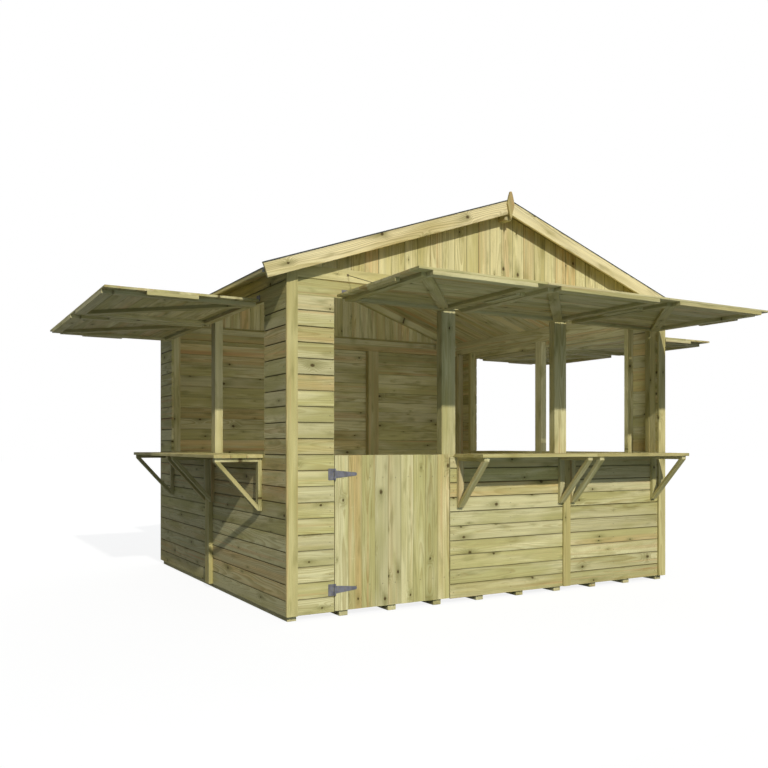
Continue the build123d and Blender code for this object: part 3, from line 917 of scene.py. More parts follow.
class Tree:
    """A Geometry Nodes tree with named inputs, which repeats a shape."""

    def __init__(self, name: str, inputs: dict[str, str]) -> None:
        """Start a tree.

        Args:
            name: name of the tree.
            inputs: socket type of each input but the shape and its material, by name.
        """
        self.group = bpy.data.node_groups.new(name, "GeometryNodeTree")
        self.group.interface.new_socket("Geometry", in_out="OUTPUT", socket_type="NodeSocketGeometry")
        self.identifiers = {}
        for key, kind in {"Shape": "Object", **inputs, "Material": "Material"}.items():
            made = self.group.interface.new_socket(key, in_out="INPUT", socket_type=f"NodeSocket{kind}")
            self.identifiers[key] = made.identifier
        self.graph = Graph(self.group)
        self.source = self.graph.node("NodeGroupInput")

    def input(self, name: str) -> Socket:
        """Socket of a named input."""
        return self.source.outputs[name]

    def shape(self) -> Socket:
        """Geometry of the shape that the tree repeats."""
        return self.graph.call("GeometryNodeObjectInfo", {"Object": self.input("Shape")}, "Geometry")

    def shaken(self, low: Socket, high: Socket) -> Socket:
        """Random vector of each point, between two vectors."""
        return self.graph.call("FunctionNodeRandomValue", {0: low, 1: high, "Seed": self.input("Seed")},
                               data_type="FLOAT_VECTOR")

    def drawn(self, most: float = 1.0) -> Socket:
        """Random number of each point, from 0 to the most."""
        return self.graph.call("FunctionNodeRandomValue", {3: most, "Seed": self.input("Seed")}, 1,
                               data_type="FLOAT")

    def stored(self, geometry: Socket, name: str, value: Socket, domain: str = "POINT") -> Socket:
        """Geometry with a value stored in one of the wood's attributes."""
        return self.graph.call("GeometryNodeStoreNamedAttribute", {
            "Geometry": geometry, "Name": name, "Value": value}, data_type=ATTRIBUTES[name][0], domain=domain)

    def named(self, name: str) -> Socket:
        """Value of one of the wood's attributes."""
        return self.graph.call("GeometryNodeInputNamedAttribute", {"Name": name},
                               data_type=ATTRIBUTES[name][0])

    def end(self, geometry: Socket) -> None:
        """Realize the instances, set the material and close the tree.

        Args:
            geometry: what the tree has made.
        """
        graph = self.graph
        real = graph.call("GeometryNodeRealizeInstances", {"Geometry": geometry})
        dressed = graph.call("GeometryNodeSetMaterial", {
            "Geometry": real, "Material": self.input("Material")})
        graph.feed(graph.node("NodeGroupOutput").inputs["Geometry"], dressed)

    def run(self, name: str, shape: bpy.types.Mesh, material: bpy.types.Material, values: dict[str, float],
            lay: Lay) -> bpy.types.Mesh:
        """Evaluate the tree to a plain mesh in the stall's frame.

        Args:
            name: name of the mesh.
            shape: mesh that the tree repeats, which is removed.
            material: material of the result.
            values: a value for each other input.
            lay: place of the result.

        Returns:
            The plain mesh.
        """
        pattern = placed(name + "_pattern", shape)
        carrier = placed(name, bpy.data.meshes.new(name))
        modifier = carrier.modifiers.new("nodes", "NODES")
        modifier.node_group = self.group
        for key, value in {"Shape": pattern, "Material": material, **values}.items():
            modifier[self.identifiers[key]] = value
        depsgraph = bpy.context.evaluated_depsgraph_get()
        made = bpy.data.meshes.new_from_object(carrier.evaluated_get(depsgraph), depsgraph=depsgraph)
        made.materials.clear()
        made.materials.append(material)
        made.transform(lay.matrix)
        for spent in (carrier, pattern):
            mesh = spent.data
            bpy.data.objects.remove(spent)
            bpy.data.meshes.remove(mesh)
        return made


class BoardTree(Tree):
    """Lays boards side by side, each a little out of true, and trims them to their panel."""

    bow_scale: float = 2.6
    bow_step: float = 60.0
    bow_middle: float = 0.5
    # Inset over which the painted seam shade fades in from the panel's outer edges
    seam_shade_inset: Pair = (0.002, 0.008)

    def __init__(self) -> None:
        """Build the tree."""
        super().__init__("lay_boards", {
            "Count": "Int", "Pitch": "Float", "Seed": "Int", "Slip": "Float", "Wander": "Float",
            "Low": "Float", "Top": "Float", "Crest": "Float", "Fall": "Float", "Centre": "Float"})
        graph = self.graph
        line = graph.call("GeometryNodeMeshLine", {
            "Count": self.input("Count"), "Offset": graph.join(0.0, self.input("Pitch"), 0.0)})
        slip = self.input("Slip")
        back = graph.scaled(slip, -1.0)
        shake = self.shaken(graph.join(back, 0.0, back), graph.join(slip, 0.0, 0.0))
        points = graph.call("GeometryNodeSetPosition", {"Geometry": line, "Offset": shake})
        boards = graph.call("GeometryNodeInstanceOnPoints", {"Points": points, "Instance": self.shape()})
        numbered = self.stored(boards, BOARD, self.drawn(), "INSTANCE")
        real = graph.call("GeometryNodeRealizeInstances", {"Geometry": numbered})
        old = graph.call("GeometryNodeInputPosition", {})
        new = self._trimmed(old)
        moved = graph.vector("ADD", self.named(GRAIN), graph.vector("SUBTRACT", new, old))
        grained = self.stored(real, GRAIN, moved)
        seamed = self.stored(grained, SEAM_SHADE, self._seam_shade(new))
        self.end(graph.call("GeometryNodeSetPosition", {"Geometry": seamed, "Position": new}))

    def _seam_shade(self, place: Socket) -> Socket:
        """Find the depth of painted shade in a seam, which is nothing at the outer edges of the panel.

        Args:
            place: position of each corner.

        Returns:
            The depth from 0 to 1.
        """
        graph = self.graph
        across = graph.split(place)[1]
        inset = graph.math("MINIMUM", graph.math("SUBTRACT", across, self.input("Low")),
                           graph.math("SUBTRACT", self.input("Top"), across))
        return graph.times(self.named(SEAM_SHADE), graph.smooth(inset, *self.seam_shade_inset))

    def _trimmed(self, old: Socket) -> Socket:
        """Bow the boards slightly and keep them inside the panel.

        Args:
            old: position of each corner.

        Returns:
            The new position.
        """
        graph = self.graph
        bends = graph.split(graph.call("ShaderNodeTexNoise", {
            "Vector": old, "W": graph.scaled(self.named(BOARD), self.bow_step), "Scale": self.bow_scale,
        }, "Color", noise_dimensions="4D"))
        along, across, out = graph.split(old)
        wander = self.input("Wander")
        across = graph.scaled(graph.math("SUBTRACT", bends[0], self.bow_middle), wander, across)
        out = graph.scaled(graph.math("SUBTRACT", bends[1], self.bow_middle), wander, out)
        across = graph.math("MINIMUM", graph.math("MAXIMUM", across, self.input("Low")), self.input("Top"))
        aside = graph.math("ABSOLUTE", graph.math("SUBTRACT", across, self.input("Centre")))
        roof = graph.math("SUBTRACT", self.input("Crest"), graph.times(aside, self.input("Fall")))
        return graph.join(graph.math("MINIMUM", along, roof), across, out)


class FixingTree(Tree):
    """Drives nails or screws in rows and columns, each turned and shifted a little."""

    def __init__(self) -> None:
        """Build the tree."""
        super().__init__("drive_fixings", {
            "Columns": "Int", "Rows": "Int", "Width": "Float", "Height": "Float", "Shift": "Float",
            "Seed": "Int"})
        graph = self.graph
        width, height, shift = (self.input(name) for name in ("Width", "Height", "Shift"))
        grid = graph.call("GeometryNodeMeshGrid", {
            "Size X": width, "Vertices X": self.input("Columns"),
            "Size Y": height, "Vertices Y": self.input("Rows")})
        back = graph.scaled(shift, -1.0)
        shake = self.shaken(graph.join(back, back, 0.0), graph.join(shift, shift, 0.0))
        corner = graph.join(graph.scaled(width, 0.5), graph.scaled(height, 0.5), 0.0)
        points = graph.call("GeometryNodeSetPosition", {
            "Geometry": grid, "Offset": graph.vector("ADD", corner, shake)})
        turn = graph.join(0.0, 0.0, self.drawn(math.tau))
        self.end(graph.call("GeometryNodeInstanceOnPoints", {
            "Points": points, "Instance": self.shape(), "Rotation": turn}))


@dataclass
class Workshop:
    """The trees, fixings and finishes that every sub-assembly shares."""

    finishes: Finishes = field(default_factory=Finishes)
    boards: BoardTree = field(default_factory=BoardTree)
    fixings: FixingTree = field(default_factory=FixingTree)
    heads: dict[Body, list[bpy.types.Mesh]] = field(default_factory=lambda: {body: [] for body in Body})
    seed: int = 11
    seed_step: int = 17
    nail_radius: float = 0.0034
    nail_proud: float = 0.0007
    nail_shank: float = 0.004
    nail_taper: float = 0.6
    nail_crown: float = 0.72
    nail_brim: float = 0.4
    nail_sides: int = 8
    nail_shift: float = 0.002

    def next_seed(self) -> int:
        """A new seed for each panel, the same on every run."""
        self.seed += self.seed_step
        return self.seed

    def head(self) -> bpy.types.Mesh:
        """Make one nail head with a short shank.

        Returns:
            A mesh for the tree to repeat.
        """
        work = bmesh.new()
        profile = ((self.nail_taper, -self.nail_shank), (1.0, -self.nail_proud),
                   (1.0, self.nail_proud * self.nail_brim), (self.nail_crown, self.nail_proud))
        turns = [math.tau * step / self.nail_sides for step in range(self.nail_sides)]
        skin(work, [[work.verts.new((self.nail_radius * share * math.cos(turn),
                                     self.nail_radius * share * math.sin(turn), height)) for turn in turns]
                    for share, height in profile])
        return poured(work, "nail_pattern")

    def drive(self, lay: Lay, columns: int, rows: int, width: float, height: float, body: Body,
              shift: float = 0.0) -> None:
        """Drive a grid of nails or screws into a face.

        Args:
            lay: place of the first fixing and the way the rows run.
            columns: fixings along the lay.
            rows: fixings across the lay.
            width: distance from the first column to the last.
            height: distance from the first row to the last.
            body: the body that they ride on.
            shift: how far each may be out of line.
        """
        self.heads[body].append(self.fixings.run("fixings", self.head(), self.finishes.steel, {
            "Columns": columns, "Rows": rows, "Width": width, "Height": height, "Shift": shift,
            "Seed": self.next_seed()}, lay))

    def hand_over(self) -> None:
        """Join the fixings of each body into one piece."""
        for body, meshes in self.heads.items():
            boarded(f"{body.value}_fixings", meshes, [], body)


@dataclass
class BoardPanel:
    """Boards laid side by side over a rectangle, or under a roof."""

    name: str
    lay: Lay
    length: float
    width: float
    pitch: float
    thickness: float
    profile: BoardProfile
    material: bpy.types.Material
    crest: float = 100.0
    fall: float = 0.0
    centre: float = 0.0
    first: float = 0.0
    wander: float = 0.0016
    slip: float = 0.0006
    edge: float = 0.0028
    lip: float = 0.0085
    tuck: float = 0.006
    tuck_play: float = 1.15
    cove: float = 0.0095
    # Painted shade in the seams: depths of shade in the shiplap's cove and at its lower lip, on the face
    # joints, in the inside joints, and the faint share at a groove's outer lip
    cove_points: tuple[Triple, ...] = (
        (1.0, 0.0, 0.16), (0.8, 0.35, 0.5), (0.5, 0.72, 0.85), (0.1, 0.95, 1.0))
    cove_fall: float = 1.03
    lap_seam_shades: Pair = (0.7, 0.12)
    shade: float = 0.009
    joint: float = 0.85
    inner_joint: float = 0.4
    faint: float = 0.2
    groove: float = 0.7
    tip: float = 0.004
    cut_length: float = 0.3
    speck: float = 0.00002
    nail_pitch: float = 0.0
    nail_inset: float = 0.03
    nail_rise: float = 0.42
    nail_least: float = 0.7
    body: Body = Body.STALL

    @classmethod
    def level(cls, name: str, box: SolidBox, sideways: bool, pitch: float, profile: BoardProfile,
              material: bpy.types.Material, **sizes: float) -> "BoardPanel":
        """Lay boards flat in the place of a slab.

        Args:
            name: name of the panel.
            box: box of the slab.
            sideways: whether the boards run from left to right, and not from front to back.
            pitch: width of a board.
            profile: the boards' section.
            material: the boards' wood.
            sizes: other sizes of the panel, by name.

        Returns:
            The panel.
        """
        low, high, size = box.low, box.high, box.size
        if sideways:
            lay = Lay(Vector((low.x, low.y, high.z)), RIGHT, BACKWARD)
            return cls(name, lay, size.x, size.y, pitch, size.z, profile, material, **sizes)
        lay = Lay(Vector((high.x, low.y, high.z)), BACKWARD, -RIGHT)
        return cls(name, lay, size.y, size.x, pitch, size.z, profile, material, **sizes)

    def section(self) -> list[Triple]:
        """Draw the outline of the board's section.

        Returns:
            Places across the board and outwards from its face, each with its depth of painted seam shade from
            0 to 1.
        """
        pitch, back, edge, shade = self.pitch, -self.thickness, self.edge, self.shade
        inner, groove = self.inner_joint, edge * self.groove
        if self.profile is BoardProfile.SHIPLAP:
            lip, cove = self.lip, self.cove
            start, end = self.tuck * self.tuck_play, pitch + self.tuck
            hollow = [(pitch - cove * across, -lip * depth, seam) for across, depth, seam in self.cove_points]
            return [(0, -edge / 2, self.lap_seam_shades[0]), (edge / 2, 0, self.lap_seam_shades[1]), (shade, 0, 0),
                    (pitch - cove - shade, 0, 0), *hollow, (end, -lip * self.cove_fall, 1),
                    (end, back + groove, inner), (end - groove, back, inner * self.faint),
                    (end - shade, back, 0), (start + shade, back, 0),
                    (start + groove, back, inner * self.faint), (start, back + groove, inner),
                    (start, -lip, 1), (0, -lip, 1)]
        gap = 0.0 if self.profile is BoardProfile.TONGUE else edge / 3
        face = [(gap, -edge, self.joint), (gap + edge, 0, self.joint * self.faint), (gap + shade, 0, 0)]
        face += [(pitch - across, out, seam) for across, out, seam in reversed(face)]
        rear = [(gap, back + groove, inner), (gap + groove, back, inner * self.faint), (gap + shade, back, 0)]
        return face + [(pitch - across, out, seam) for across, out, seam in rear] + list(reversed(rear))

    def board(self) -> bpy.types.Mesh:
        """Make one board, with its grain and its painted seam shade stored.

        Returns:
            A mesh for the tree to repeat.
        """
        section = self.section()
        cuts = max(1, round(self.length / self.cut_length))
        inner = [self.length * step / cuts for step in range(1, cuts)]
        places = [0.0, self.tip, *inner, self.length - self.tip, self.length]
        work = bmesh.new()
        grain = work.verts.layers.float_vector.new(GRAIN)
        seam = work.verts.layers.float.new(SEAM_SHADE)
        rings = []
        for place in places:
            ring = [work.verts.new((place, across, out)) for across, out, _ in section]
            clean = self.fall == 0 and place in (places[0], places[-1])
            for vert, (_, _, depth) in zip(ring, section):
                vert[seam] = 0.0 if clean else depth
                vert[grain] = (vert.co.x, vert.co.y - self.pitch / 2, vert.co.z)
            rings.append(ring)
        skin(work, rings)
        return poured(work, "board_pattern")

    def mesh(self, shop: Workshop) -> bpy.types.Mesh:
        """Lay the panel's boards.

        Args:
            shop: the shared trees.

        Returns:
            A plain mesh in the stall's frame.
        """
        start = Lay(self.lay.origin + self.lay.stack * self.first, self.lay.along, self.lay.stack)
        count = math.ceil((self.width - self.first) / self.pitch - SLACK)
        made = shop.boards.run(self.name, self.board(), self.material, {
            "Count": count, "Pitch": self.pitch, "Seed": shop.next_seed(), "Slip": self.slip,
            "Wander": self.wander, "Low": -self.first, "Top": self.width - self.first, "Crest": self.crest,
            "Fall": self.fall, "Centre": self.centre - self.first}, start)
        self._clear(made)
        if self.nail_pitch:
            self._nail(shop, count)
        return made

    def _clear(self, mesh: bpy.types.Mesh) -> None:
        """Merge the corners that trimming brings together, and drop boards that it leaves next to nothing of.

        Args:
            mesh: the panel's mesh.
        """
        work = bmesh.new()
        work.from_mesh(mesh)
        for board in islands(work):
            bmesh.ops.remove_doubles(work, verts=board, dist=self.speck)
        for board in islands(work):
            reach = [vert.co.dot(self.lay.along) for vert in board]
            depth = [vert.co.dot(self.lay.out) for vert in board]
            least = min(max(reach) - min(reach), max(depth) - min(depth))
            if least < self.edge or len(board) < len(self.section()):
                bmesh.ops.delete(work, geom=board, context="VERTS")
        work.to_mesh(mesh)
        work.free()

    def _nail(self, shop: Workshop, count: int) -> None:
        """Nail every board that is nearly whole to the frame behind it.

        Args:
            shop: the shared trees.
            count: number of boards.
        """
        reach = self.length - 2 * self.nail_inset
        rows = max(2, min(count, math.floor((self.width - self.first) / self.pitch + 1 - self.nail_least)))
        columns = max(2, round(reach / self.nail_pitch) + 1)
        below = math.floor(max(0.0, -self.first) / self.pitch + 0.5)
        origin = self.lay.origin + self.lay.along * self.nail_inset
        origin += self.lay.stack * (self.first + (below + self.nail_rise) * self.pitch)
        shop.drive(Lay(origin, self.lay.along, self.lay.stack), columns, rows - below, reach,
                   (rows - below - 1) * self.pitch, self.body, shop.nail_shift)


@dataclass
class Walls:
    """Horizontal shiplap on the four walls."""

    shop: Workshop
    rows: int = 21
    nail_pitch: float = 0.5
    base: float = field(init=False)
    pitch: float = field(init=False)
    middle: Vector = field(init=False)

    def __post_init__(self) -> None:
        """Read the walls' sizes from the frame."""
        back = solid_boxes("back_wall_cladding")[0]
        low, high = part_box("floor_deck")
        self.base = back.low.z
        self.pitch = back.size.z / self.rows
        self.middle = low.lerp(high, 0.5)

    def lay_for(self, box: SolidBox) -> tuple[Lay, float]:
        """Find how boards lie on a slab of cladding.

        Args:
            box: box of the slab.

        Returns:
            The lay of its boards, seen from outside, and their length.
        """
        low, high = box.low, box.high
        if box.size.y < box.size.x:
            if box.centre.y < self.middle.y:
                return Lay(Vector((low.x, low.y, low.z)), RIGHT, UP), box.size.x
            return Lay(Vector((high.x, high.y, low.z)), -RIGHT, UP), box.size.x
        if box.centre.x < self.middle.x:
            return Lay(Vector((low.x, high.y, low.z)), -BACKWARD, UP), box.size.y
        return Lay(Vector((high.x, low.y, low.z)), BACKWARD, UP), box.size.y

    def panel(self, box: SolidBox, pitch: float, first: float = 0.0) -> bpy.types.Mesh:
        """Board one slab of cladding, with nails where it is wide enough.

        Args:
            box: box of the slab.
            pitch: height of a board.
            first: height of the first board above the slab's foot.

        Returns:
            The panel's mesh.
        """
        lay, length = self.lay_for(box)
        nailed = self.nail_pitch if length > self.nail_pitch / 2 and box.size.z > 2 * pitch else 0.0
        return BoardPanel("wall", lay, length, box.size.z, pitch, min(box.size.x, box.size.y),
                          BoardProfile.SHIPLAP, self.shop.finishes.boards, first=first,
                          nail_pitch=nailed).mesh(self.shop)

    def build(self) -> None:
        """Board every wall."""
        self._front()
        self._back()
        self._sides()

    def _front(self) -> None:
        """Corner panels, counter wall and head of the front."""
        corners = [self.panel(box, self.pitch) for box in solid_boxes("front_corner_cladding")]
        boarded("front_corner_boards", corners, ["front_corner_cladding"])
        strip = min(solid_boxes("cover_strips"), key=lambda box: box.centre.y)
        counter = solid_boxes("front_counter_cladding")[0]
        counters = [self.panel(box, self.pitch) for box in counter.split(0, [strip.centre.x])]
        boarded("front_counter_boards", counters, ["front_counter_cladding"])
        head = solid_boxes("front_head_cladding")[0]
        posts = [box.centre.x for box in solid_boxes("front_studs")[2:4]]
        heads = [self.panel(box, box.size.z) for box in head.split(0, posts)]
        boarded("front_head_boards", heads, ["front_head_cladding"])

    def _back(self) -> None:
        """Three panels of the back wall, meeting on its double studs."""
        joints = [box.centre.x for box in solid_boxes("back_studs")[1:-1]]
        back = solid_boxes("back_wall_cladding")[0]
        panels = [self.panel(box, self.pitch) for box in back.split(0, joints)]
        boarded("back_wall_boards", panels, ["back_wall_cladding"])

    def _sides(self) -> None:
        """End panels, counter walls and heads of both sides; counter boards run on to the corners."""
        ends = solid_boxes("side_end_cladding")
        meshes = []
        for counter in solid_boxes("side_counter_cladding"):
            mine = [end for end in ends if abs(end.centre.x - counter.centre.x) < counter.size.x]
            low, high = counter.low.copy(), counter.high.copy()
            low.y = min(end.low.y for end in mine)
            high.y = max(end.high.y for end in mine)
            wall = SolidBox(low, high)
            meshes += [self.panel(box, self.pitch) for box in wall.split(1, [wall.centre.y])]
            rows_below = math.ceil(counter.size.z / self.pitch - SLACK)
            first = self.base + rows_below * self.pitch - counter.high.z - self.pitch
            for end in mine:
                above = SolidBox(Vector((end.low.x, end.low.y, counter.high.z)), end.high)
                meshes.append(self.panel(above, self.pitch, first))
        boarded("side_wall_boards", meshes, ["side_end_cladding", "side_counter_cladding"])
        heads = [self.panel(half, half.size.z / 2) for box in solid_boxes("side_head_cladding")
                 for half in box.split(1, [box.centre.y])]
        boarded("side_head_boards", heads, ["side_head_cladding"])


@dataclass
class Gables:
    """Vertical boards in both gables, cut to the roof, on a plain rail along the foot."""

    shop: Workshop
    board_width: float = 0.106
    rail: float = 0.082
    rail_number: float = 0.37
    ease: float = 0.0015

    def build(self) -> None:
        """Board both gables."""
        for name, node, stack in (("front_gable_boards", "front_gable_cladding", -RIGHT),
                                  ("back_gable_boards", "back_gable_cladding", RIGHT)):
            low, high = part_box(node)
            width = high.x - low.x
            face = low.y if stack.x < 0 else high.y
            start = high.x if stack.x < 0 else low.x
            half_count = math.ceil(width / 2 / self.board_width)
            fall = (high.z - self._eave(node)) / (width / 2)
            foot = low.z + self.rail
            panel = BoardPanel(name, Lay(Vector((start, face, foot)), UP, stack), high.z - foot, width,
                               self.board_width, high.y - low.y, BoardProfile.TONGUE,
                               self.shop.finishes.gable, crest=high.z - foot, fall=fall, centre=width / 2,
                               first=width / 2 - half_count * self.board_width)
            boarded(name, [panel.mesh(self.shop), self._rail(low, high, fall)], [node])

    def _rail(self, low: Vector, high: Vector, fall: float) -> bpy.types.Mesh:
        """Cut the rail along a gable's foot to the roof.

        Args:
            low: lowest corner of the gable's box.
            high: highest corner of the gable's box.
            fall: drop of the roof over a metre.

        Returns:
            The rail's mesh, with grain along it.
        """
        middle = (low + high) / 2
        reach = high.x - middle.x
        eave, top = high.z - reach * fall, low.z + self.rail
        inset = (high.z - top) / fall
        right = [(reach, low.z), (reach, eave), (inset, top)]
        outline = right + [(-across, height) for across, height in reversed(right)]
        work = bmesh.new()
        skin(work, [[work.verts.new((middle.x + across, depth, height)) for across, height in outline]
                    for depth in (low.y, high.y)])
        bmesh.ops.bevel(work, geom=work.edges[:], offset=self.ease, **EASED)
        grain = work.verts.layers.float_vector.new(GRAIN)
        board = work.verts.layers.float.new(BOARD)
        for vert in work.verts:
            vert[grain] = (vert.co.x - middle.x, vert.co.z - low.z - self.rail / 2, vert.co.y - middle.y)
            vert[board] = self.rail_number
        return poured(work, "gable_rail", self.shop.finishes.gable)

    def _eave(self, node: str) -> float:
        """Measure the height of a gable's edge at the wall.

        Args:
            node: the gable's CAD node.

        Returns:
            The height in metres.
        """
        corners = [vert.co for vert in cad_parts[node].data.vertices]
        outer = max(corner.x for corner in corners)
        return max(corner.z for corner in corners if corner.x > outer - NEAR)


@dataclass
class Roof:
    """Boards on both slopes, seen from below, under mineral felt."""

    shop: Workshop
    board_width: float = 0.1087
    low: Vector = field(init=False)
    high: Vector = field(init=False)
    eave_top: float = field(init=False)
    thickness: float = field(init=False)
    slope: float = field(init=False)
    length: float = field(init=False)

    def __post_init__(self) -> None:
        """Read the sizes of the left slope from the frame."""
        self.low, self.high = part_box("left_roof_boards")
        corners = [vert.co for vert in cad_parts["left_roof_boards"].data.vertices]
        eave = [corner.z for corner in corners if corner.x < self.low.x + NEAR]
        self.eave_top = max(eave)
        self.slope = math.atan2(self.high.z - self.eave_top, self.high.x - self.low.x)
        self.thickness = (max(eave) - min(eave)) * math.cos(self.slope)
        self.length = (self.high.x - self.low.x) / math.cos(self.slope)

    def along(self, side: int) -> Vector:
        """The way up the slope, for 1 on the left or -1 on the right."""
        return Vector((side * math.cos(self.slope), 0, math.sin(self.slope)))

    def out(self, side: int) -> Vector:
        """The way that the slope faces, for 1 on the left or -1 on the right."""
        return Vector((-side * math.sin(self.slope), 0, math.cos(self.slope)))

    def build(self) -> None:
        """Board and felt the roof."""
        for name, node, side in (("left_roof_boarding", "left_roof_boards", 1),
                                 ("right_roof_boarding", "right_roof_boards", -1)):
            start_y = self.low.y if side > 0 else self.high.y
            lay = Lay(Vector((side * self.low.x, start_y, self.eave_top)), self.along(side), BACKWARD * side)
            panel = BoardPanel(name, lay, self.length, self.high.y - self.low.y, self.board_width,
                               self.thickness, BoardProfile.TONGUE, self.shop.finishes.boards)
            boarded(name, [panel.mesh(self.shop)], [node])
        RoofFelt(self.shop, self).build()


@dataclass
class RoofFelt:
    """Three courses of felt a slope, lapped down the roof, with a cap along the ridge."""

    shop: Workshop
    roof: Roof
    sheet: float = 0.0025
    course: float = 0.72
    laps: int = 2
    lap: float = 0.075
    lap_ramp: float = 0.002
    lap_sheets: Triple = (1.05, 2.0, 1.9)
    drip: float = 0.003
    lift: float = 0.0003
    cap_reach: float = 0.16
    cap_sheets: float = 2.2
    steps: int = 26
    ripple: float = 0.0012
    seed: int = 5
    strip_skin: float = 0.0022
    strip_turn: float = 0.005
    strip_fold: float = 0.4
    strip_seeds: tuple[int, int] = (1000, 100)

    def build(self) -> None:
        """Make the felt of both slopes with its ridge cap, and the edging."""
        roof = self.roof
        outline = self._outline()
        dice = random.Random(self.seed)
        work = bmesh.new()
        for side in (1, -1):
            along, out = roof.along(side), roof.out(side)
            origin = Vector((side * roof.low.x, 0, roof.eave_top))
            rings = []
            for step in range(self.steps + 1):
                depth = roof.low.y + (roof.high.y - roof.low.y) * step / self.steps
                ring = []
                for place, height in outline:
                    lift = dice.uniform(0, self.ripple) if height > self.lift else 0.0
                    rise = UP * height if height < 0 else out * (height + lift)
                    ring.append(work.verts.new(origin + along * place + rise + BACKWARD * depth))
                rings.append(ring)
            skin(work, rings)
        felt = poured(work, "felt_covering", self.shop.finishes.felt)
        piece("felt_covering", felt, ["roof_felt"])
        self._edging()

    def _outline(self) -> list[Pair]:
        """Draw the felt's section from the eave over the laps to the ridge, and back underneath.

        Returns:
            Places up the slope and heights above the boards.
        """
        roof, sheet = self.roof, self.sheet
        edge = (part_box("eave_fascias")[0].x - roof.low.x) / math.cos(roof.slope)
        cap = roof.length - self.cap_reach
        outline = [(edge - sheet, -self.drip), (edge - sheet, sheet)]
        toe, top, fade = (sheet * share for share in self.lap_sheets)
        for index in range(self.laps):
            seam = self.course + index * (self.course - self.lap)
            outline += [(seam - self.lap, toe), (seam - self.lap + self.lap_ramp, top), (seam, fade)]
        outline += [(cap, sheet), (cap + self.lap_ramp, sheet * self.cap_sheets)]
        return outline + [(roof.length, sheet * self.cap_sheets), (roof.length, self.lift), (edge, self.lift),
                          (edge, -self.drip)]

    def _edging(self) -> None:
        """Narrow felt strips folded over the tops of the barge boards and the ends of the fascias."""
        meshes = []
        for node in ("left_barge_boards", "right_barge_boards"):
            for box in solid_boxes(node):
                meshes.append(self._strip(box, 1 if box.centre.x < 0 else -1))
        for box in solid_boxes("eave_fascias"):
            meshes += [self._tongue(box, box.low.y, -1), self._tongue(box, box.high.y, 1)]
        boarded("barge_felt_edging", meshes, [])

    def _tongue(self, box: SolidBox, end: float, way: int) -> bpy.types.Mesh:
        """Turn a tongue of felt down over one end of an eave fascia.

        Args:
            box: box of the fascia.
            end: place of its end.
            way: -1 at the front, 1 at the back.

        Returns:
            The tongue's mesh.
        """
        thick = self.strip_skin
        middle = Vector((box.centre.x, end + way * thick / 2, box.centre.z))
        size = Vector((box.size.x + thick, thick, box.size.z + thick / 2))
        work = bmesh.new()
        bmesh.ops.create_cube(work, size=1.0, matrix=Matrix.LocRotScale(middle, None, size))
        bmesh.ops.recalc_face_normals(work, faces=work.faces)
        return poured(work, "fascia_felt", self.shop.finishes.felt)

    def _strip(self, box: SolidBox, side: int) -> bpy.types.Mesh:
        """Fold one strip over a barge board.

        Args:
            box: box of the board.
            side: 1 on the left slope, -1 on the right.

        Returns:
            The strip's mesh.
        """
        roof, thick, turn = self.roof, self.strip_skin, self.strip_turn
        low_end = Vector((box.low.x if side > 0 else box.high.x, 0, 0))
        low_end.z = box.high.z - box.size.x * math.tan(roof.slope)
        length = box.size.x / math.cos(roof.slope)
        near, far, fold = box.low.y, box.high.y, thick * self.strip_fold
        section = [(near - thick, -turn), (near - thick, fold), (near - fold, thick), (far + fold, thick),
                   (far + thick, fold), (far + thick, -turn), (far, -turn), (far, 0), (near, 0),
                   (near, -turn)]
        seed = sum(round(box.centre[axis] * scale) for axis, scale in enumerate(self.strip_seeds))
        dice = random.Random(seed)
        work = bmesh.new()
        rings = []
        for step in range(self.steps + 1):
            place = low_end + roof.along(side) * (length * step / self.steps)
            sag = dice.uniform(0, self.ripple)
            rings.append([work.verts.new(place + BACKWARD * across
                                         + roof.out(side) * (height - (sag if height < 0 else 0)))
                          for across, height in section])
        skin(work, rings)
        return poured(work, "barge_felt", self.shop.finishes.felt)


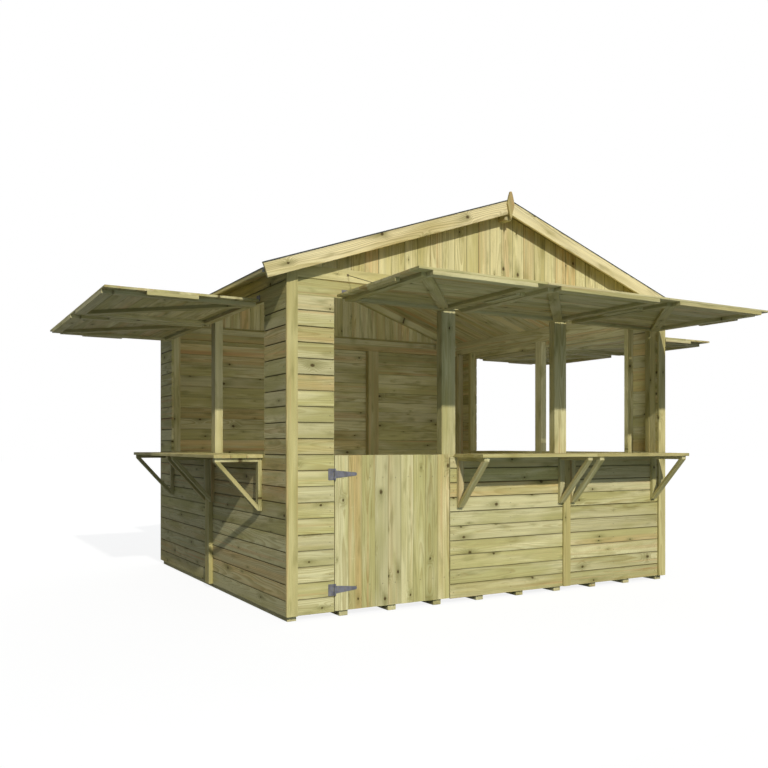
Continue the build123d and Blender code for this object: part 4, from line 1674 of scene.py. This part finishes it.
@dataclass
class Timbers:
    """Sawn and planed timbers: the CAD solids with eased edges and grain along each one."""

    shop: Workshop
    ease: float = 0.0025
    sharp: float = 12.0
    flank: float = 0.3
    seed: int = 23
    frame_nodes: tuple[str, ...] = (
        "front_studs", "front_rails", "back_studs", "back_rails", "side_studs", "side_rails", "gable_rails",
        "gable_rafters", "ridge_beam", "floor_bearers", "hatch_battens", "bracket_posts", "bracket_arms",
        "bracket_struts")
    trim_nodes: tuple[str, ...] = ("corner_trims", "cover_strips", "counter_sills")
    barge_nodes: tuple[str, ...] = ("left_barge_boards", "right_barge_boards")
    dice: random.Random = field(init=False)

    def __post_init__(self) -> None:
        """Start the draws of the timbers' own numbers."""
        self.dice = random.Random(self.seed)

    def build(self) -> None:
        """Dress every timber node."""
        finishes = self.shop.finishes
        for nodes, material, slot in ((self.frame_nodes, finishes.timber, Slot.FRAME),
                                      (self.trim_nodes, finishes.trim, Slot.TRIM),
                                      (self.barge_nodes, finishes.barge, Slot.TRIM)):
            for node in nodes:
                self.dress(node, material)
        self.dress("eave_fascias", finishes.barge)
        self.dress("finials", finishes.finial)
        self.dress("door_ledges", finishes.timber, Body.DOOR)

    def dress(self, node: str, material: bpy.types.Material, body: Body = Body.STALL) -> None:
        """Make the timbers of one CAD node.

        Args:
            node: the CAD node that the piece stands for.
            material: its wood.
            body: the body that it rides on.
        """
        work = welded(node)
        bmesh.ops.bevel(work, geom=sharp_edges(work, self.sharp), offset=self.ease, clamp_overlap=True,
                        **EASED)
        bmesh.ops.recalc_face_normals(work, faces=work.faces)
        grain = work.verts.layers.float_vector.new(GRAIN)
        board = work.verts.layers.float.new(BOARD)
        for group in islands(work):
            along, across, depth = self.axes(group)
            middle = sum((vert.co for vert in group), Vector()) / len(group)
            number = self.dice.random()
            for vert in group:
                place = vert.co - middle
                vert[grain] = (place.dot(along), place.dot(across), place.dot(depth))
                vert[board] = number
        name = node + "_timber"
        piece(name, poured(work, name, material), [node], body)

    def axes(self, group: Sequence[bmesh.types.BMVert]) -> tuple[Vector, Vector, Vector]:
        """Find a timber's own axes.

        Args:
            group: corners of the timber.

        Returns:
            Unit vectors along its length, across its broad face and through it.
        """
        edges = dict.fromkeys(edge for vert in group for edge in vert.link_edges)
        longest = max(edges, key=lambda edge: round(edge.calc_length(), 5))
        along = (longest.verts[1].co - longest.verts[0].co).normalized()
        faces = dict.fromkeys(face for vert in group for face in vert.link_faces)
        flanks = [face for face in faces if abs(face.normal.dot(along)) < self.flank]
        depth = max(flanks, key=lambda face: round(face.calc_area(), 6)).normal.copy()
        across = depth.cross(along).normalized()
        return along, across, along.cross(across)


@dataclass
class Hatches:
    """Boarded hatches, propped level over the front and the sides."""

    shop: Workshop
    rows: int = 10
    # Depths of painted shade in the joints between boards, on the top and on the underside
    joint: float = 0.7
    inner_joint: float = 0.3

    def build(self) -> None:
        """Board every hatch."""
        for name, node, sideways in (("front_hatch_boards", "front_hatches", True),
                                     ("side_hatch_boards", "side_hatches", False)):
            meshes = []
            for box in solid_boxes(node):
                depth = box.size.y if sideways else box.size.x
                panel = BoardPanel.level("hatch", box, sideways, depth / self.rows, BoardProfile.TONGUE,
                                         self.shop.finishes.boards, joint=self.joint,
                                         inner_joint=self.inner_joint)
                meshes.append(panel.mesh(self.shop))
            boarded(name, meshes, [node])


@dataclass
class Counters:
    """Counter shelves of three planed boards each."""

    shop: Workshop
    rows: int = 3
    wander: float = 0.0006
    # Depth of painted shade in the joints between the shelf's boards
    joint: float = 0.6

    def build(self) -> None:
        """Board every shelf."""
        meshes = []
        for box in solid_boxes("counter_shelves"):
            depth = min(box.size.x, box.size.y)
            panel = BoardPanel.level("shelf", box, box.size.x > box.size.y, depth / self.rows,
                                     BoardProfile.SQUARE, self.shop.finishes.trim, wander=self.wander,
                                     joint=self.joint)
            meshes.append(panel.mesh(self.shop))
        boarded("counter_shelf_boards", meshes, ["counter_shelves"])


@dataclass
class Floor:
    """Floor boards along the front."""

    shop: Workshop
    board_width: float = 0.1208

    def build(self) -> None:
        """Board the deck."""
        panel = BoardPanel.level("deck", SolidBox(*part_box("floor_deck")), True, self.board_width,
                                 BoardProfile.TONGUE, self.shop.finishes.boards)
        boarded("floor_boards", [panel.mesh(self.shop)], ["floor_deck"])


@dataclass
class HalfDoor:
    """Boards of the half door."""

    shop: Workshop
    rows: int = 9
    edge: float = 0.0016
    # Depth of painted shade in the joints between the door's boards
    joint: float = 0.6

    def build(self) -> None:
        """Board the door's leaf and nail it to its ledges."""
        low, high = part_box("door_leaf")
        width, height = high.x - low.x, high.z - low.z
        ledge = min(box.centre.z - low.z for box in solid_boxes("door_ledges"))
        panel = BoardPanel("door", Lay(Vector((high.x, low.y, low.z)), UP, -RIGHT), height, width,
                           width / self.rows, high.y - low.y, BoardProfile.TONGUE, self.shop.finishes.boards,
                           edge=self.edge, joint=self.joint, nail_pitch=height - ledge - ledge,
                           nail_inset=ledge, body=Body.DOOR)
        boarded("door_boards", [panel.mesh(self.shop)], ["door_leaf"], body=Body.DOOR)


@dataclass
class Ironwork:
    """Slate-painted hinges of the door and hatches, and the steel stays of the hatches."""

    shop: Workshop
    ease: float = 0.0006
    sharp: float = 40.0
    leaf: float = 0.003
    screw_gap: float = 0.014
    plate_grid: tuple[int, int] = (2, 3)
    plate_screw: Pair = (0.009, 0.012)
    leaf_grid: tuple[int, int] = (3, 2)
    strap_screw: float = 0.034
    strap_run: float = 0.1
    hatch_width: float = 0.06
    hatch_play: float = 0.001
    hatch_run: float = 0.04
    hatch_rise: float = 0.02
    hatch_reach: float = 0.046
    hatch_gap: float = 0.018

    def build(self) -> None:
        """Dress the hinges and stays, and hand all fixings over."""
        slate = self.shop.finishes.slate
        for node, body in (("door_hinge_plates", Body.STALL), ("door_hinge_straps", Body.DOOR),
                           ("hatch_hinges", Body.STALL)):
            work = welded(node)
            bmesh.ops.bevel(work, geom=sharp_edges(work, self.sharp), offset=self.ease, clamp_overlap=True,
                            **EASED)
            self._dress(node, work, slate, body)
        self._dress("hatch_stays", welded("hatch_stays"), self.shop.finishes.steel, Body.STALL)
        self._screws()
        self.shop.hand_over()

    def _dress(self, node: str, work: bmesh.types.BMesh, material: bpy.types.Material, body: Body) -> None:
        """Make the piece of one CAD node from its worked mesh."""
        name = node + "_iron"
        piece(name, poured(work, name, material), [node], body)

    def _screws(self) -> None:
        """Screw the leaves of every hinge down."""
        drive, gap = self.shop.drive, self.screw_gap
        inset, foot = self.plate_screw
        for box in solid_boxes("door_hinge_plates"):
            start = Vector((box.low.x + inset, box.high.y - self.leaf, box.low.z + foot))
            drive(Lay(start, RIGHT, UP), *self.plate_grid, gap, box.size.z - 2 * foot, Body.STALL)
        for box in solid_boxes("door_hinge_straps"):
            start = Vector((box.low.x + self.strap_screw, box.high.y - self.leaf, box.centre.z - gap / 2))
            drive(Lay(start, RIGHT, UP), *self.leaf_grid, self.strap_run, gap, Body.DOOR)
        for box in solid_boxes("hatch_hinges"):
            self._hatch_screws(box)

    def _hatch_screws(self, box: SolidBox) -> None:
        """Drive the screws in the wall leaf and the hatch leaf of one hinge.

        Args:
            box: box of the hinge.
        """
        front = abs(box.size.x - self.hatch_width) < self.hatch_play
        side = 1 if box.centre.x > 0 else -1
        along = RIGHT if front else BACKWARD * side
        out = -BACKWARD if front else RIGHT * side
        wall = box.high.y if front else (box.low.x if side > 0 else box.high.x)
        middle = Vector((box.centre.x, wall, 0)) if front else Vector((wall, box.centre.y, 0))
        start = middle - along * (self.hatch_run / 2)
        up = start + out * self.leaf + UP * (box.low.z + self.hatch_rise)
        self.shop.drive(Lay(up, along, UP), *self.leaf_grid, self.hatch_run, self.screw_gap, Body.STALL)
        flat = start + out * self.hatch_reach + UP * (box.low.z + self.leaf)
        self.shop.drive(Lay(flat, along, -out), *self.leaf_grid, self.hatch_run, self.hatch_gap, Body.STALL)


@dataclass(frozen=True)
class Sun:
    """Light from far away: the way towards it, its strength, its width in degrees and its colour."""

    name: str
    source: Triple
    strength: float
    angle: float
    colour: Triple

    def hang(self) -> None:
        """Put the lamp into the scene."""
        data = bpy.data.lights.new(self.name, "SUN")
        data.energy = self.strength
        data.angle = math.radians(self.angle)
        data.color = self.colour
        placed(self.name, data).rotation_euler = Vector(self.source).to_track_quat("Z", "Y").to_euler()


@dataclass(frozen=True)
class SoftPanel:
    """Panel lamp, unseen itself, that faces the back wall where its tilt from facing down is 90 degrees."""

    name: str
    place: Triple
    size: Pair
    power: float
    colour: Triple
    tilt: float

    def hang(self) -> None:
        """Put the lamp into the scene."""
        data = bpy.data.lights.new(self.name, "AREA")
        data.shape = "RECTANGLE"
        data.size, data.size_y = self.size
        data.energy = self.power
        data.color = self.colour
        lamp = placed(self.name, data)
        lamp.location = self.place
        lamp.rotation_euler = (math.radians(self.tilt), 0, 0)
        lamp.visible_camera = False
        lamp.visible_glossy = False


@dataclass
class Studio:
    """Camera, floor, backdrop and light."""

    camera_place: Triple = (-3.834, -5.9665, 1.148)
    camera_yaw: float = 29.87
    focal_pixels: float = 820.2
    picture_pixels: float = 768.0
    horizon_below_middle: float = 61.06
    sensor: float = 36.0
    lamps: tuple[Sun | SoftPanel, ...] = (
        Sun("key", (-0.22, -1.0, 0.63), 2.58, 1.2, (1.0, 0.97, 0.9)),
        Sun("front", (0.25, -1.0, 0.6), 0.22, 70.0, (0.66, 0.72, 1.0)),
        Sun("back", (0.8, 1.0, 0.7), 0.75, 70.0, (0.95, 0.98, 1.0)),
        SoftPanel("room", (0.0, -0.9, 1.45), (2.8, 1.3), 16.4, (0.88, 0.93, 1.0), 95.0),
        SoftPanel("card", (-1.15, -3.95, 0.32), (3.0, 0.5), 17.0, (0.76, 0.93, 1.0), 115.0))
    fill_strength: float = 0.245
    fill_colour: Colour = (0.86, 0.94, 1.0, 1.0)
    backdrop_colour: Colour = (1.0, 1.0, 1.0, 1.0)
    floor_reach: float = 60.0
    floor_glow: float = 1.1
    floor_lift: float = 0.78
    floor_pale: Colour = (0.9, 0.9, 0.9, 1.0)
    floor_dull: Colour = (0.084, 0.099, 0.11, 1.0)

    def build(self) -> None:
        """Set the stage."""
        self._camera()
        for lamp in self.lamps:
            lamp.hang()
        self._world()
        self._floor()
        bpy.context.scene.view_settings.view_transform = "Standard"

    def _camera(self) -> None:
        """Camera at the photograph's place and lens."""
        data = bpy.data.cameras.new("camera")
        data.sensor_width = self.sensor
        data.lens = self.sensor * self.focal_pixels / self.picture_pixels
        data.shift_y = self.horizon_below_middle / self.picture_pixels
        camera = placed("camera", data)
        camera.location = self.camera_place
        camera.rotation_euler = (math.pi / 2, 0, -math.radians(self.camera_yaw))
        bpy.context.scene.camera = camera

    def _seen(self, graph: Graph) -> Socket:
        """Tell rays that show the backdrop from rays that light the stall.

        Args:
            graph: graph of the world or the floor.

        Returns:
            1 for rays that show the backdrop, and 0 for the others.
        """
        path = graph.node("ShaderNodeLightPath")
        seen = graph.math("MAXIMUM", path.outputs["Is Camera Ray"], path.outputs["Is Glossy Ray"])
        return graph.math("MAXIMUM", seen, path.outputs["Is Transmission Ray"])

    def _world(self) -> None:
        """White backdrop with a dimmer, slightly blue fill."""
        world = bpy.data.worlds.new("studio")
        bpy.context.scene.world = world
        graph = Graph.of(world)
        fill = graph.call("ShaderNodeBackground", {"Color": self.fill_colour, "Strength": self.fill_strength})
        backdrop = graph.call("ShaderNodeBackground", {"Color": self.backdrop_colour})
        graph.surface(graph.blend(self._seen(graph), fill, backdrop), "ShaderNodeOutputWorld")

    def _floor(self) -> None:
        """Pale floor that keeps a light shadow."""
        reach = self.floor_reach
        corners = [(-reach, -reach, 0), (reach, -reach, 0), (reach, reach, 0), (-reach, reach, 0)]
        mesh = bpy.data.meshes.new("studio_floor")
        mesh.from_pydata(corners, [], [(0, 1, 2, 3)])
        material = bpy.data.materials.new("studio_floor")
        graph = Graph.of(material)
        dull, pale = (graph.call("ShaderNodeBsdfDiffuse", {"Color": colour})
                      for colour in (self.floor_dull, self.floor_pale))
        glow = graph.call("ShaderNodeEmission", {"Strength": self.floor_glow})
        lifted = graph.blend(self.floor_lift, pale, glow)
        graph.surface(graph.blend(self._seen(graph), dull, lifted))
        mesh.materials.append(material)
        placed("studio_floor", mesh)


def main() -> None:
    """Build the stall's sub-assemblies in order, then the studio."""
    logging.basicConfig(level=logging.INFO, format="%(name)s %(message)s")
    shop = Workshop()
    for assembly in (Floor(shop), Walls(shop), Gables(shop), Roof(shop), Timbers(shop), Hatches(shop),
                     Counters(shop), HalfDoor(shop), Ironwork(shop), Studio()):
        assembly.build()


if __name__ == "__main__":
    main()
